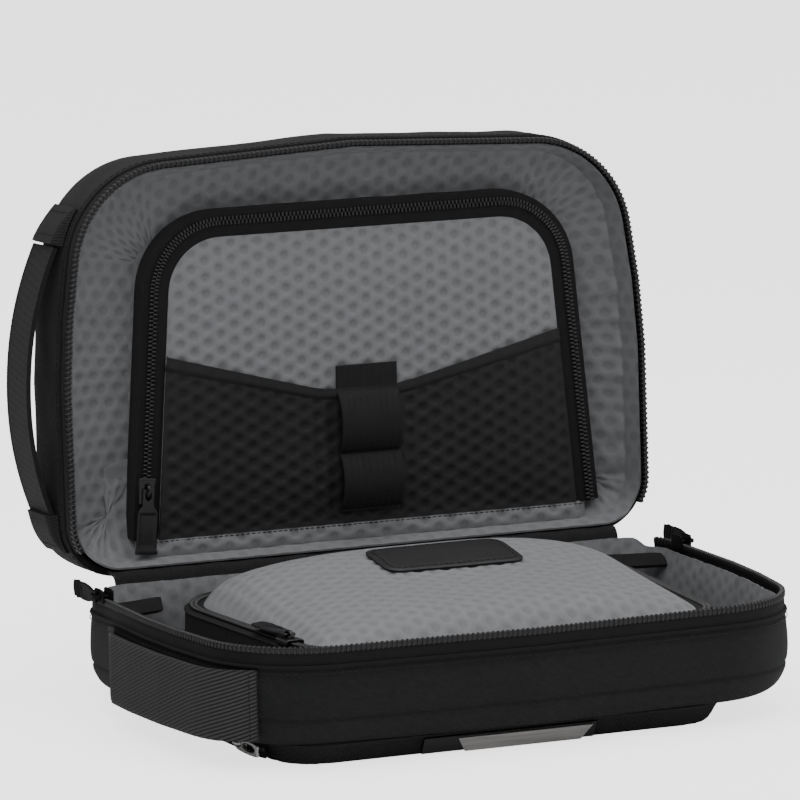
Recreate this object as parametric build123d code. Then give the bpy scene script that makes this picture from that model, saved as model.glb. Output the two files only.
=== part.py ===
from build123d import *
import math
import os

# Soft toiletry bag that opens like a clamshell, shown open with its lid standing up.
# Millimetres, +Z up, +Y towards the hinge, origin at the centre of the face it rests on.
# A place in the bag is (x, v, z), with v the distance from the hinge edge.
# Everything in the lid is drawn with the lid shut, then turned open about the hinge.

# Outline shared by both halves
HALF_WIDTH = 130.0
BAG_HEIGHT = 172.0
FAR_HALF_WIDTH = HALF_WIDTH - 10
SHOULDER_V = BAG_HEIGHT - 80
FAR_BOW = 8.0
HINGE_CORNER = 22.0
FAR_CORNER = 44.0
SHOULDER_RADIUS = 200.0

# Heights
POCKET_DEPTH = 9.0
SEAM_Z = 41.0
RIM_Z = 50.0
LID_DEPTH = 47.0
LID_FLOOR_DEPTH = 22.0
BOTTOM_ROUND = 10.0
LID_ROUND = 8.0
LID_OPEN_ANGLE = 92.0
HINGE_OFFSET = 1.0

# Cloth, board and tape thicknesses
SHELL = 2.0
FOAM = 1.4
FOAM_LIFT = 9.0
PAD = 1.8
LINING = 0.9
BOARD = 1.5
TAPE = 1.2
SEAM_GAP = 0.3
FAR_OFF = 500.0
ROUND_SHARE = 0.59
PIPING = 1.0

# Main zip
CHAIN_WIDTH = 2.6
CHAIN_HEIGHT = 3.4
TOOTH_PITCH = 4.0
TOOTH_GAP = 2.1
TOOTH_HEIGHT = 1.5
CHAIN_GAP = 1.2
CHAIN_START_V = 9.0
LEAF_END_V = 8.6
HINGE_ROLL = 0.8

# Front pocket under the lower half
FRONT_POCKET_X_BACK = (18 - HALF_WIDTH, HALF_WIDTH - 30)
FRONT_POCKET_X_FRONT = (24 - HALF_WIDTH, HALF_WIDTH - 40)
FRONT_POCKET_V = (12.0, BAG_HEIGHT - 10)
FRONT_POCKET_CORNER = 24.0
FRONT_POCKET_SLOPE = 5.0
FRONT_POCKET_CLOTH = 1.5
FRONT_BEAD_Z = 5.0
FRONT_ZIP_END_V = BAG_HEIGHT - 24

# Domed pocket inside the lower half
DOME_X_BACK = (26 - HALF_WIDTH, HALF_WIDTH - 31)
DOME_X_FRONT = (38 - HALF_WIDTH, HALF_WIDTH - 42)
DOME_V = (16.0, BAG_HEIGHT - 10)
DOME_BACK_CORNER, DOME_FRONT_CORNER = 38.0, 24.0
DOME_WALL = 1.4
DOME_ZIP_Z = 43.5
DOME_TOP_Z = 49.6
DOME_ROUND = 4.4
DOME_ZIP_WIDTH = 7.4
DOME_CHAIN_INSET = 3.5

# Zipped pocket inside the lid
LID_POCKET_X_BACK = (30 - HALF_WIDTH, HALF_WIDTH - 20)
LID_POCKET_X_FRONT = (41 - HALF_WIDTH, HALF_WIDTH - 31)
LID_POCKET_V = (12.0, BAG_HEIGHT - 26)
LID_POCKET_CORNER = 34.0
LID_POCKET_WALL = 1.2
LID_POCKET_DEPTH = 10.0
LID_ZIP_WIDTH = 11.0
LID_CHAIN_INSET = 4.0
PANEL_CLOTH = 1.2
SLIP_EDGE = [(-96, 86), (-15, 69), (19, 69), (106, 90)]
SLIP_CLOTH = 0.8

# Elastic loops on the slip pocket
LOOP_X = 4.5
LOOP_WIDTH = 27.0
LOOP_STITCHES = (19.0, 42.0, 67.0)
LOOP_STAND = 5.2
LOOP_CLOTH = 1.2

# Hem band across the lid
HEM_X = (31 - HALF_WIDTH, HALF_WIDTH - 26)
HEM_V = (5.2, 11.7)
HEM_CLOTH = 1.0

# Small coil zips and their sliders
BEAD_WIDTH = 2.2
BEAD_HEIGHT = 1.6
SLIDER_LENGTH = 11.0
SLIDER_LIP = 2.2
SLIDER_PLATE = 1.0
SLIDER_CLEARANCE = 0.25
BRIDGE_LENGTH, BRIDGE_WIDTH, BRIDGE_BAR = 6.0, 1.4, 0.8
WINDOW_LENGTH, WINDOW_HEIGHT = 4.4, 2.2
PULL_THICK = 1.2
PULL_NECK = 4.6
PULL_HOLE_LENGTH, PULL_HOLE_WIDTH = 4.8, 2.4
TIP_HOLE = 1.6

# Rest places of the sliders, and the length and width of each pull
LID_SLIDER_V, LID_PULL = 33.0, (26.0, 9.0)
DOME_SLIDER_V, DOME_PULL = BAG_HEIGHT - 38, (27.0, 8.0)
FRONT_SLIDER_V, FRONT_PULL = BAG_HEIGHT - 44, (20.0, 5.6)
FRONT_SLIDER_LIP = 1.2
MAIN_SLIDER_V, MAIN_PULL = 30.0, (24.0, 8.0)

# Carry handle on the left end of the lid
HANDLE_Z = (65.0, 89.0)
HANDLE_CLOTH = 2.2
HANDLE_V = (26.8, BAG_HEIGHT - 38.8)
HANDLE_STAND = 1.8
HANDLE_BULGE = 19.0
ANCHOR_LENGTH = 17.0
ANCHOR_THICK = 4.6

# Ribbed grip on the left end of the lower half
GRIP_Z = (12.0, 40.0)
GRIP_CLOTH = 1.8
GRIP_STAND = 6.2
GRIP_V = (44.0, BAG_HEIGHT - 6)
GRIP_REACH_X = 23 - HALF_WIDTH
GRIP_ANCHOR = 8.0

# Badge and patch, both left bare
BADGE_X = -3.0
BADGE_LENGTH, BADGE_HEIGHT, BADGE_THICK = 58.0, 7.0, 1.2
BADGE_BACK_LENGTH, BADGE_BACK_HEIGHT, BADGE_BACK_THICK = 74.0, 7.6, 1.0
PATCH_X, PATCH_V = 0.0, BAG_HEIGHT - 94
PATCH_LENGTH, PATCH_WIDTH, PATCH_THICK, PATCH_CORNER = 60.0, 30.0, 1.2, 6.0

# Folded ends of the main zip's tape
TAB_X, TAB_V, TAB_TURN = HALF_WIDTH - 18, 17.0, 15.0
TAB_SIZE = (29.0, 8.0, 1.6)

HINGE_Y = BAG_HEIGHT / 2
AXIS_Y = HINGE_Y + HINGE_OFFSET
BASE_Z = POCKET_DEPTH + SEAM_GAP
BOARD_Z = BASE_Z + SHELL + 0.2
PAD_Z = BOARD_Z + BOARD
FLOOR_Z = PAD_Z + PAD + 0.2
DOME_LOW_Z = FLOOR_Z + LINING
LOWER_CHAIN_TOP = RIM_Z - CHAIN_GAP / 2
LOWER_CHAIN_LOW = LOWER_CHAIN_TOP - CHAIN_HEIGHT
LID_BACK_Z = RIM_Z + LID_DEPTH
LID_SEAM_Z = 2 * RIM_Z - SEAM_Z
LID_POCKET_Z = RIM_Z + LID_POCKET_DEPTH
LID_FLOOR_Z = RIM_Z + LID_FLOOR_DEPTH
PANEL_Z = LID_POCKET_Z - PANEL_CLOTH / 2
WALL_MIDDLE_X = HALF_WIDTH - SHELL / 2
PIVOT_HEIGHT = BEAD_HEIGHT + SLIDER_CLEARANCE + SLIDER_PLATE + WINDOW_HEIGHT / 2


# Drawing helpers
def point(x, v, z=0.0):
    return Vector(x, HINGE_Y - v, z)


def corners(face, x, v):
    return [q for q in face.vertices() if (Vector(q) - point(x, v)).length < 0.01]


def bag_face(inset=0.0):
    """The bag's outline, drawn in by inset."""
    far_v = BAG_HEIGHT - FAR_BOW
    left = [(-HALF_WIDTH, 0), (-HALF_WIDTH, SHOULDER_V), (-FAR_HALF_WIDTH, far_v)]
    right = [(-x, v) for x, v in reversed(left)]
    sides = [Line(point(*a), point(*b)) for run in (left, right) for a, b in zip(run, run[1:])]
    far = ThreePointArc(point(-FAR_HALF_WIDTH, far_v), point(0, BAG_HEIGHT), point(FAR_HALF_WIDTH, far_v))
    hinge = Line(point(HALF_WIDTH, 0), point(-HALF_WIDTH, 0))
    face = make_face([*sides, far, hinge])
    for x, v, radius in (
        (FAR_HALF_WIDTH, far_v, FAR_CORNER),
        (HALF_WIDTH, 0, HINGE_CORNER),
        (HALF_WIDTH, SHOULDER_V, SHOULDER_RADIUS),
    ):
        face = fillet(corners(face, x, v) + corners(face, -x, v), radius)
    return offset(face, -inset) if inset else face


def pocket_face(x_back, x_front, v_range, back_corner, front_corner, inset=0.0):
    """A pocket's outline, drawn in by inset."""
    (v_back, v_front), spots = v_range, []
    spots += [(x_back[0], v_back, back_corner), (x_front[0], v_front, front_corner)]
    spots += [(x_front[1], v_front, front_corner), (x_back[1], v_back, back_corner)]
    face = make_face(Polyline([point(x, v) for x, v, _ in spots], close=True))
    for x, v, radius in spots:
        face = fillet(corners(face, x, v), radius) if radius else face
    return offset(face, -inset) if inset else face


def dome_face(inset=0.0):
    return pocket_face(DOME_X_BACK, DOME_X_FRONT, DOME_V, DOME_BACK_CORNER, DOME_FRONT_CORNER, inset)


def lid_pocket_face(inset=0.0):
    """The lid pocket's outline, drawn in on its three zipped sides only."""
    (low, high), share = LID_POCKET_V, 1 - inset / (LID_POCKET_V[1] - LID_POCKET_V[0])
    back, front = [], []
    for x_back, x_front, side in zip(LID_POCKET_X_BACK, LID_POCKET_X_FRONT, (1, -1)):
        back.append(x_back + side * inset)
        front.append(x_back + (x_front - x_back) * share + side * inset)
    v_range = (low, high - inset)
    return pocket_face(back, front, v_range, 0, LID_POCKET_CORNER - inset)


def front_pocket_face(inset=0.0):
    corner = FRONT_POCKET_CORNER
    return pocket_face(FRONT_POCKET_X_BACK, FRONT_POCKET_X_FRONT, FRONT_POCKET_V, corner, corner, inset)


def slab(face, low, high):
    return extrude(Pos(0, 0, low) * face, high - low)


def ring(outer, inner, low, high):
    return slab(outer, low, high) - slab(inner, low, high)


def block(x_range, v_range, z_range):
    """A box between two values each of x, v and z."""
    (x0, x1), (v0, v1), (z0, z1) = x_range, v_range, z_range
    middle = point((x0 + x1) / 2, (v0 + v1) / 2, (z0 + z1) / 2)
    return Pos(middle) * Box(x1 - x0, v1 - v0, z1 - z0)


def past(v):
    return block((-FAR_OFF, FAR_OFF), (v, FAR_OFF), (-FAR_OFF, FAR_OFF))


def round_level(shape, z, radius):
    """Takes off the shape's edges at one height, as far as a rounding of that radius would."""
    edges = shape.edges().filter_by(lambda e: abs(e.center().Z - z) < 0.01)
    return chamfer(edges, ROUND_SHARE * radius)


def opened(shape):
    """Turns a part drawn in the shut lid to where the open lid stands."""
    hinge = Pos(0, AXIS_Y, RIM_Z)
    return hinge * Rot(-LID_OPEN_ANGLE, 0, 0) * hinge.inverse() * shape


def save(name, shape):
    export_step(shape, f"parts/{name}.step")


def save_lid(name, shape):
    save(name, opened(shape))


# Outer cloth of the lower half
def lower_shell():
    outer = round_level(slab(bag_face(), BASE_Z, SEAM_Z), BASE_Z, BOTTOM_ROUND)
    inner_low = BASE_Z + SHELL
    inner = round_level(slab(bag_face(SHELL), inner_low, SEAM_Z + 1), inner_low, BOTTOM_ROUND - SHELL)
    save("lower_gusset", outer - inner - slab(bag_face(BOTTOM_ROUND), BASE_Z - 1, inner_low + 0.5))
    save("base_panel", slab(bag_face(BOTTOM_ROUND + SEAM_GAP), BASE_Z, BASE_Z + SHELL))
    save("base_board", slab(bag_face(BOTTOM_ROUND + 1), BOARD_Z, BOARD_Z + BOARD))
    save("base_foam", slab(bag_face(BOTTOM_ROUND - 2), PAD_Z, PAD_Z + PAD))
    foam_inset = SHELL + SEAM_GAP
    save("lower_foam", ring(bag_face(foam_inset), bag_face(foam_inset + FOAM), BASE_Z + FOAM_LIFT, SEAM_Z - 1))
    outer, inner = bag_face(SHELL + FOAM + 2 * SEAM_GAP), bag_face(SHELL + FOAM + LINING + 2 * SEAM_GAP)
    save("lower_lining", slab(outer, FLOOR_Z, SEAM_Z + 1) - slab(inner, DOME_LOW_Z, SEAM_Z + 2))
    save("lower_piping", ring(bag_face(-PIPING), bag_face(), SEAM_Z - 0.6, SEAM_Z + 0.6))


# Main zip, whose two chains meet rim to rim when the lid is shut
def tooth_gaps(low, high):
    """Blocks that notch a chain between its teeth."""
    wire = bag_face(SHELL / 2).face().outer_wire()
    count = round(wire.length / TOOTH_PITCH)
    gaps = []
    for place in [i / count for i in range(count)]:
        spot, along = wire.position_at(place), wire.tangent_at(place)
        if HINGE_Y - spot.Y > CHAIN_START_V + TOOTH_PITCH / 2:
            turn = math.degrees(math.atan2(along.Y, along.X))
            notch = Box(TOOTH_GAP, 2 * CHAIN_WIDTH, high - low)
            gaps.append(Pos(spot.X, spot.Y, (low + high) / 2) * Rot(0, 0, turn) * notch)
    return gaps


def chain(low, high, tooth_low, tooth_high):
    edge = (SHELL - CHAIN_WIDTH) / 2
    bead = ring(bag_face(edge), bag_face(edge + CHAIN_WIDTH), low, high) & past(CHAIN_START_V)
    return bead - tooth_gaps(tooth_low, tooth_high)


def rim_tape(low, high):
    edge = (SHELL - TAPE) / 2
    return ring(bag_face(edge), bag_face(edge + TAPE), low, high) & past(CHAIN_START_V)


def hinge_leaf(low, high, roll_z):
    """The strip of cloth along the hinge edge, with the rolled seam that the lid turns about."""
    reach = HALF_WIDTH - HINGE_CORNER
    roll = block((-reach, reach), (-HINGE_ROLL, 0), (roll_z - HINGE_ROLL / 2, roll_z + HINGE_ROLL / 2))
    return ring(bag_face(), bag_face(SHELL), low, high) - past(LEAF_END_V) + roll


def main_zip():
    top, low = LOWER_CHAIN_TOP, LOWER_CHAIN_LOW
    save("lower_chain", chain(low, top, top - TOOTH_HEIGHT, top + 1))
    save("lower_tape", rim_tape(SEAM_Z, low))
    save("lower_hinge_leaf", hinge_leaf(SEAM_Z, top, RIM_Z - HINGE_ROLL))
    lid_low, lid_high = 2 * RIM_Z - top, 2 * RIM_Z - low
    save_lid("lid_chain", chain(lid_low, lid_high, lid_low - 1, lid_low + TOOTH_HEIGHT))
    save_lid("lid_tape", rim_tape(lid_high, LID_SEAM_Z))
    save_lid("lid_hinge_leaf", hinge_leaf(lid_low, LID_SEAM_Z, RIM_Z + HINGE_ROLL))


def tape_tabs():
    for name, side in (("left", -1), ("right", 1)):
        place = Pos(point(side * TAB_X, TAB_V, SEAM_Z + 1 + TAB_SIZE[2] / 2)) * Rot(0, 0, -side * TAB_TURN)
        save(f"tape_tab_{name}", place * Box(*TAB_SIZE))


# Front pocket, badge and its backing
def front_frustum(inset, low, high):
    """A solid whose sides slope out from the face the bag rests on."""
    faces = []
    for z in (low, high):
        slope = FRONT_POCKET_SLOPE * (1 - z / POCKET_DEPTH)
        faces.append(Pos(0, 0, z) * front_pocket_face(inset + slope))
    return loft(faces)


def front_pocket():
    cloth = FRONT_POCKET_CLOTH
    shell = front_frustum(0, 0, POCKET_DEPTH) - front_frustum(cloth, cloth, POCKET_DEPTH)
    save("front_pocket", shell)
    bead = slab(front_pocket_face(-BEAD_HEIGHT), FRONT_BEAD_Z, FRONT_BEAD_Z + BEAD_WIDTH)
    bead = bead - front_frustum(0, 0, POCKET_DEPTH) - past(FRONT_ZIP_END_V)
    save("front_pocket_zip", bead)


def slope_place(x, out):
    """A place on the front pocket's front slope, with +Z pointing away from it."""
    lean = math.degrees(math.atan2(FRONT_POCKET_SLOPE, POCKET_DEPTH))
    v = FRONT_POCKET_V[1] - FRONT_POCKET_SLOPE / 2
    return Pos(point(x, v, POCKET_DEPTH / 2)) * Rot(90 + lean, 0, 0) * Pos(0, 0, out)


def badge():
    backing = slope_place(BADGE_X - 6, BADGE_BACK_THICK / 2 + 0.1)
    backing *= Box(BADGE_BACK_LENGTH, BADGE_BACK_HEIGHT, BADGE_BACK_THICK)
    save("badge_backing", backing)
    half, short = BADGE_LENGTH / 2, BADGE_LENGTH / 2 - 4
    low, high = -BADGE_HEIGHT / 2, BADGE_HEIGHT / 2
    plate = make_face(Polyline([(-short, low), (short, low), (half, high), (-half, high)], close=True))
    save("badge_plate", slope_place(BADGE_X, BADGE_BACK_THICK + 0.1) * extrude(plate, BADGE_THICK))


# Ribbed grip
def grip():
    zone = block((-FAR_OFF, GRIP_REACH_X), GRIP_V, (-FAR_OFF, FAR_OFF))
    strip = ring(bag_face(-GRIP_STAND - GRIP_CLOTH), bag_face(-GRIP_STAND), *GRIP_Z) & zone
    save("ribbed_grip", strip)
    filler = ring(bag_face(-GRIP_STAND), bag_face(), *GRIP_Z)
    back_zone = block((-FAR_OFF, GRIP_REACH_X), (GRIP_V[0], GRIP_V[0] + GRIP_ANCHOR), (-FAR_OFF, FAR_OFF))
    save("grip_anchor_back", filler & back_zone)
    front_zone = block((GRIP_REACH_X - GRIP_ANCHOR, GRIP_REACH_X), (SHOULDER_V, FAR_OFF), (-FAR_OFF, FAR_OFF))
    save("grip_anchor_front", filler & front_zone)


# Carry handle on the lid's left end
def handle():
    ends = []
    for v in HANDLE_V:
        lean = max(0.0, v - SHOULDER_V) / (BAG_HEIGHT - FAR_BOW - SHOULDER_V)
        ends.append((-HALF_WIDTH + (HALF_WIDTH - FAR_HALF_WIDTH) * lean - HANDLE_STAND, v))
    peak = (-HALF_WIDTH - HANDLE_BULGE, sum(HANDLE_V) / 2)
    arcs = []
    for out in (0, HANDLE_CLOTH):
        arcs.append(ThreePointArc(*[point(x - out, v) for x, v in (ends[0], peak, ends[1])]))
    caps = [Line(arcs[0] @ t, arcs[1] @ t) for t in (0, 1)]
    save_lid("handle", slab(make_face([*arcs, *caps]), *HANDLE_Z))
    pad = ring(bag_face(-ANCHOR_THICK), bag_face(), *HANDLE_Z)
    low, high = HANDLE_V[0] - SEAM_GAP, HANDLE_V[1] + SEAM_GAP
    for name, span in (("low", (low - ANCHOR_LENGTH, low)), ("high", (high, high + ANCHOR_LENGTH))):
        save_lid(f"handle_anchor_{name}", pad & block((-FAR_OFF, 0), span, (-FAR_OFF, FAR_OFF)))


# Domed zip pocket
def dome_pocket():
    save("dome_gusset", ring(dome_face(), dome_face(DOME_WALL), DOME_LOW_Z, DOME_ZIP_Z))
    tape_high = DOME_ZIP_Z + LINING
    save("dome_tape", ring(dome_face(), dome_face(DOME_ZIP_WIDTH), DOME_ZIP_Z, tape_high))
    near, far = DOME_CHAIN_INSET - BEAD_WIDTH / 2, DOME_CHAIN_INSET + BEAD_WIDTH / 2
    save("dome_chain", ring(dome_face(near), dome_face(far), tape_high, tape_high + BEAD_HEIGHT))
    edge = DOME_ZIP_WIDTH + SEAM_GAP
    low, cloth = DOME_ZIP_Z, DOME_WALL
    outer = round_level(slab(dome_face(edge), low, DOME_TOP_Z), DOME_TOP_Z, DOME_ROUND)
    inner = slab(dome_face(edge + cloth), low - 1, DOME_TOP_Z - cloth)
    inner = round_level(inner, DOME_TOP_Z - cloth, DOME_ROUND - cloth)
    save("dome_panel", outer - inner)


def leather_patch():
    patch = RectangleRounded(PATCH_LENGTH, PATCH_WIDTH, PATCH_CORNER)
    save("leather_patch", Pos(point(PATCH_X, PATCH_V, DOME_TOP_Z)) * extrude(patch, PATCH_THICK))


# Outer cloth, stiffening and lining of the lid
def lid_shell():
    outer = round_level(slab(bag_face(), LID_SEAM_Z, LID_BACK_Z), LID_BACK_Z, LID_ROUND)
    inner_high = LID_BACK_Z - SHELL
    inner = round_level(slab(bag_face(SHELL), LID_SEAM_Z - 1, inner_high), inner_high, LID_ROUND - SHELL)
    shell, edge = outer - inner, slab(bag_face(LID_ROUND), inner_high - 0.5, LID_BACK_Z + 1)
    save_lid("lid_gusset", shell - edge)
    save_lid("lid_back_panel", slab(bag_face(LID_ROUND + SEAM_GAP), inner_high, LID_BACK_Z))
    board_low = inner_high - BOARD - 0.2
    save_lid("lid_board", slab(bag_face(LID_ROUND + 1), board_low, board_low + BOARD))
    save_lid("lid_back_foam", slab(bag_face(LID_ROUND), board_low - PAD, board_low))
    foam_inset, foam_low = SHELL + SEAM_GAP, LID_SEAM_Z + 1
    foam = ring(bag_face(foam_inset), bag_face(foam_inset + FOAM), foam_low, LID_BACK_Z - LID_ROUND - 1)
    save_lid("lid_foam", foam)
    outer, inner = bag_face(SHELL + FOAM + 2 * SEAM_GAP), bag_face(SHELL + FOAM + LINING + 2 * SEAM_GAP)
    low, floor = LID_SEAM_Z - 1, LID_FLOOR_Z
    save_lid("lid_lining", slab(outer, low, floor + LINING) - slab(inner, low - 1, floor))
    save_lid("lid_piping", ring(bag_face(-PIPING), bag_face(), LID_SEAM_Z - 0.6, LID_SEAM_Z + 0.6))


# Zipped pocket, slip pocket, elastic loops and hem inside the lid
def lid_pocket():
    tape_high = LID_POCKET_Z + LINING
    gusset = ring(lid_pocket_face(), lid_pocket_face(LID_POCKET_WALL), tape_high, LID_FLOOR_Z)
    save_lid("lid_pocket_gusset", gusset)
    tape = ring(lid_pocket_face(), lid_pocket_face(LID_ZIP_WIDTH), LID_POCKET_Z, tape_high)
    save_lid("lid_pocket_tape", tape)
    near, far = LID_CHAIN_INSET - BEAD_WIDTH / 2, LID_CHAIN_INSET + BEAD_WIDTH / 2
    bead = ring(lid_pocket_face(near), lid_pocket_face(far), LID_POCKET_Z - BEAD_HEIGHT, LID_POCKET_Z)
    save_lid("lid_pocket_chain", bead)
    panel = slab(lid_pocket_face(LID_ZIP_WIDTH + SEAM_GAP), PANEL_Z, PANEL_Z + PANEL_CLOTH)
    save_lid("lid_pocket_panel", panel)


def slip_pocket():
    left, right = SLIP_EDGE[0][0], SLIP_EDGE[-1][0]
    low_v = LID_POCKET_V[0]
    edge = [point(x, v) for x, v in SLIP_EDGE]
    shape = make_face(Polyline([point(left, low_v), *edge, point(right, low_v)], close=True))
    shape = shape & lid_pocket_face(LID_ZIP_WIDTH + 2 * SEAM_GAP)
    save_lid("slip_pocket", slab(shape, PANEL_Z - SLIP_CLOTH, PANEL_Z))


def elastic_loops():
    """One strap stitched down three times, so it stands off in two loops."""
    base = PANEL_Z - SLIP_CLOTH
    stand = LOOP_STAND + LOOP_CLOTH
    solid, holes = None, None
    for v0, v1 in zip(LOOP_STITCHES, LOOP_STITCHES[1:]):
        middle, half = (v0 + v1) / 2, (v1 - v0) / 2
        outer = [(v0 - 1.5, 0), (v0 + 4, stand), (v1 - 4, stand), (v1 + 1.5, 0)]
        inner = [(v0 + 1, 0), (v0 + 5, LOOP_STAND), (v1 - 5, LOOP_STAND), (v1 - 1, 0)]
        faces = []
        for run in (outer, inner):
            spots = [Vector(0, HINGE_Y - v, base - out) for v, out in run]
            faces.append(make_face(Polyline(spots, close=True)))
        bar, hole = [extrude(face, LOOP_WIDTH / 2, dir=(1, 0, 0), both=True) for face in faces]
        solid = bar if solid is None else solid + bar
        holes = hole if holes is None else holes + hole
    save_lid("elastic_loops", Pos(LOOP_X, 0, 0) * (solid - holes))


def hem_band():
    z_range = (PANEL_Z - SLIP_CLOTH, PANEL_Z - SLIP_CLOTH + HEM_CLOTH)
    save_lid("hem_band", block(HEM_X, HEM_V, z_range))


# Sliders run along their own X with Z away from the zip; the pull turns about its own Y
def slider(lip):
    width = BEAD_WIDTH + 2 * SLIDER_CLEARANCE + 2 * lip
    height = BEAD_HEIGHT + SLIDER_CLEARANCE + SLIDER_PLATE
    low = SLIDER_CLEARANCE
    body = Pos(0, 0, (low + height) / 2) * Box(SLIDER_LENGTH, width, height - low)
    body = fillet(body.edges().filter_by(Axis.Z), lip / 2)
    channel = Box(SLIDER_LENGTH + 1, BEAD_WIDTH + 2 * SLIDER_CLEARANCE, 2 * (BEAD_HEIGHT + SLIDER_CLEARANCE))
    return body - channel + bridge(height)


def bridge(height):
    """The arch on a slider that carries its pull."""
    tall = WINDOW_HEIGHT + BRIDGE_BAR
    arch = Pos(0, 0, height + tall / 2) * Box(BRIDGE_LENGTH, BRIDGE_WIDTH, tall)
    window = Pos(0, 0, height + WINDOW_HEIGHT / 2) * Box(WINDOW_LENGTH, BRIDGE_WIDTH + 1, WINDOW_HEIGHT)
    return arch - window


def pull(length, width, wire=0.6):
    """A flat tab with an eye at its pivot and a small hole near its tip."""
    neck_length = PULL_HOLE_LENGTH + 2 * wire + 0.5
    neck = Pos(neck_length / 2 - wire, 0, 0) * Box(neck_length, PULL_NECK, PULL_THICK)
    tab_start = PULL_HOLE_LENGTH + 1.1
    tab = Pos((tab_start + length) / 2, 0, 0) * Box(length - tab_start, width, PULL_THICK)
    tab = fillet(tab.edges().filter_by(Axis.Z), 1.4)
    eye = Pos(wire + PULL_HOLE_LENGTH / 2, 0, 0) * Box(PULL_HOLE_LENGTH, PULL_HOLE_WIDTH, PULL_THICK + 1)
    tip = Pos(length - 4, 0, 0) * Cylinder(TIP_HOLE, PULL_THICK + 1)
    return neck + tab - eye - tip


def along(v0, x0, v1, x1):
    """The angle from +X of a line seen from above, from (x0, v0) to (x1, v1)."""
    return math.degrees(math.atan2(v0 - v1, x1 - x0))


def side_x(x_back, x_front, v_range, v, inset):
    """Where a pocket's left side is at v, drawn in by inset."""
    share = (v - v_range[0]) / (v_range[1] - v_range[0])
    return x_back + (x_front - x_back) * share + inset


def lid_slider():
    x_back, x_front = LID_POCKET_X_BACK[0], LID_POCKET_X_FRONT[0]
    x = side_x(x_back, x_front, LID_POCKET_V, LID_SLIDER_V, LID_CHAIN_INSET)
    turn = along(LID_POCKET_V[1], x_front, LID_POCKET_V[0], x_back)
    place = Pos(point(x, LID_SLIDER_V, LID_POCKET_Z)) * Rot(0, 0, turn) * Rot(180, 0, 0)
    save_lid("lid_pocket_slider", place * slider(SLIDER_LIP))
    save_lid("lid_pocket_pull", place * Pos(0, 0, PIVOT_HEIGHT) * pull(*LID_PULL))


def dome_slider():
    x_back, x_front = DOME_X_BACK[0], DOME_X_FRONT[0]
    x = side_x(x_back, x_front, DOME_V, DOME_SLIDER_V, DOME_CHAIN_INSET)
    turn = along(DOME_V[1], x_front, DOME_V[0], x_back)
    place = Pos(point(x, DOME_SLIDER_V, DOME_ZIP_Z + LINING)) * Rot(0, 0, turn)
    save("dome_slider", place * slider(SLIDER_LIP))
    save("dome_pull", place * Pos(0, 0, PIVOT_HEIGHT) * pull(*DOME_PULL))


def front_slider():
    x_back, x_front = FRONT_POCKET_X_BACK[0], FRONT_POCKET_X_FRONT[0]
    x = side_x(x_back, x_front, FRONT_POCKET_V, FRONT_SLIDER_V, 0)
    turn = along(FRONT_POCKET_V[0], x_back, FRONT_POCKET_V[1], x_front)
    place = Pos(point(x, FRONT_SLIDER_V, FRONT_BEAD_Z + BEAD_WIDTH / 2)) * Rot(0, 0, turn) * Rot(90, 0, 0)
    save("front_slider", place * slider(FRONT_SLIDER_LIP))
    save("front_pull", place * Pos(0, 0, PIVOT_HEIGHT) * pull(*FRONT_PULL))


def main_sliders():
    """Sliders that straddle both chains of the main zip, one on each side of the bag."""
    half = CHAIN_WIDTH / 2 + SLIDER_CLEARANCE
    for name, side in (("left", -1), ("right", 1)):
        place = Pos(point(side * WALL_MIDDLE_X, MAIN_SLIDER_V, RIM_Z)) * Rot(0, 0, 90) * Rot(side * 90, 0, 0)
        plates = [Pos(0, 0, z * (half + SLIDER_PLATE / 2)) * Box(SLIDER_LENGTH, 9, SLIDER_PLATE) for z in (-1, 1)]
        post = Box(5, 0.6, 2 * half + 0.2)
        body = plates[0] + plates[1] + post + bridge(half + SLIDER_PLATE)
        save(f"main_slider_{name}", place * body)
        pivot = Pos(0, 0, half + SLIDER_PLATE + WINDOW_HEIGHT / 2)
        save(f"main_pull_{name}", place * pivot * pull(*MAIN_PULL))


if __name__ == "__main__":
    os.makedirs("parts", exist_ok=True)
    lower_shell()
    main_zip()
    tape_tabs()
    front_pocket()
    badge()
    grip()
    handle()
    dome_pocket()
    leather_patch()
    lid_shell()
    lid_pocket()
    slip_pocket()
    elastic_loops()
    hem_band()
    lid_slider()
    dome_slider()
    front_slider()
    main_sliders()
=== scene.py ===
import math
import bpy
import numpy as np
from mathutils import Matrix, Vector


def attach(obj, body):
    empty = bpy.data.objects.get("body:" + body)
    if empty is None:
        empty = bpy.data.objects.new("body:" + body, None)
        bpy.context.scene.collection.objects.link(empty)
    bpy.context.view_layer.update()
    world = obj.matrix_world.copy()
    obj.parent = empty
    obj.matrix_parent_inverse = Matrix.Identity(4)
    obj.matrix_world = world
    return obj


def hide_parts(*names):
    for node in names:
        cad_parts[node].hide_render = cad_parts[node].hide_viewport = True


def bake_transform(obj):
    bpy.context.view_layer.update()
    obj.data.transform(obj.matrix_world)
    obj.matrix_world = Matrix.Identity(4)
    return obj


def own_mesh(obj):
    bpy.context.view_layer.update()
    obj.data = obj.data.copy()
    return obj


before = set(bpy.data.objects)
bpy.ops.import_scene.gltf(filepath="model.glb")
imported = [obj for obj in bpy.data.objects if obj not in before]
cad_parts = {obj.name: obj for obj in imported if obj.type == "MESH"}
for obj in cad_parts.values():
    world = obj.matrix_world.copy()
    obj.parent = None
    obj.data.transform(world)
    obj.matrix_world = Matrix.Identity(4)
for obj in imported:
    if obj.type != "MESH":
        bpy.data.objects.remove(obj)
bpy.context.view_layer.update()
bpy.ops.object.select_all(action="DESELECT")

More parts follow.
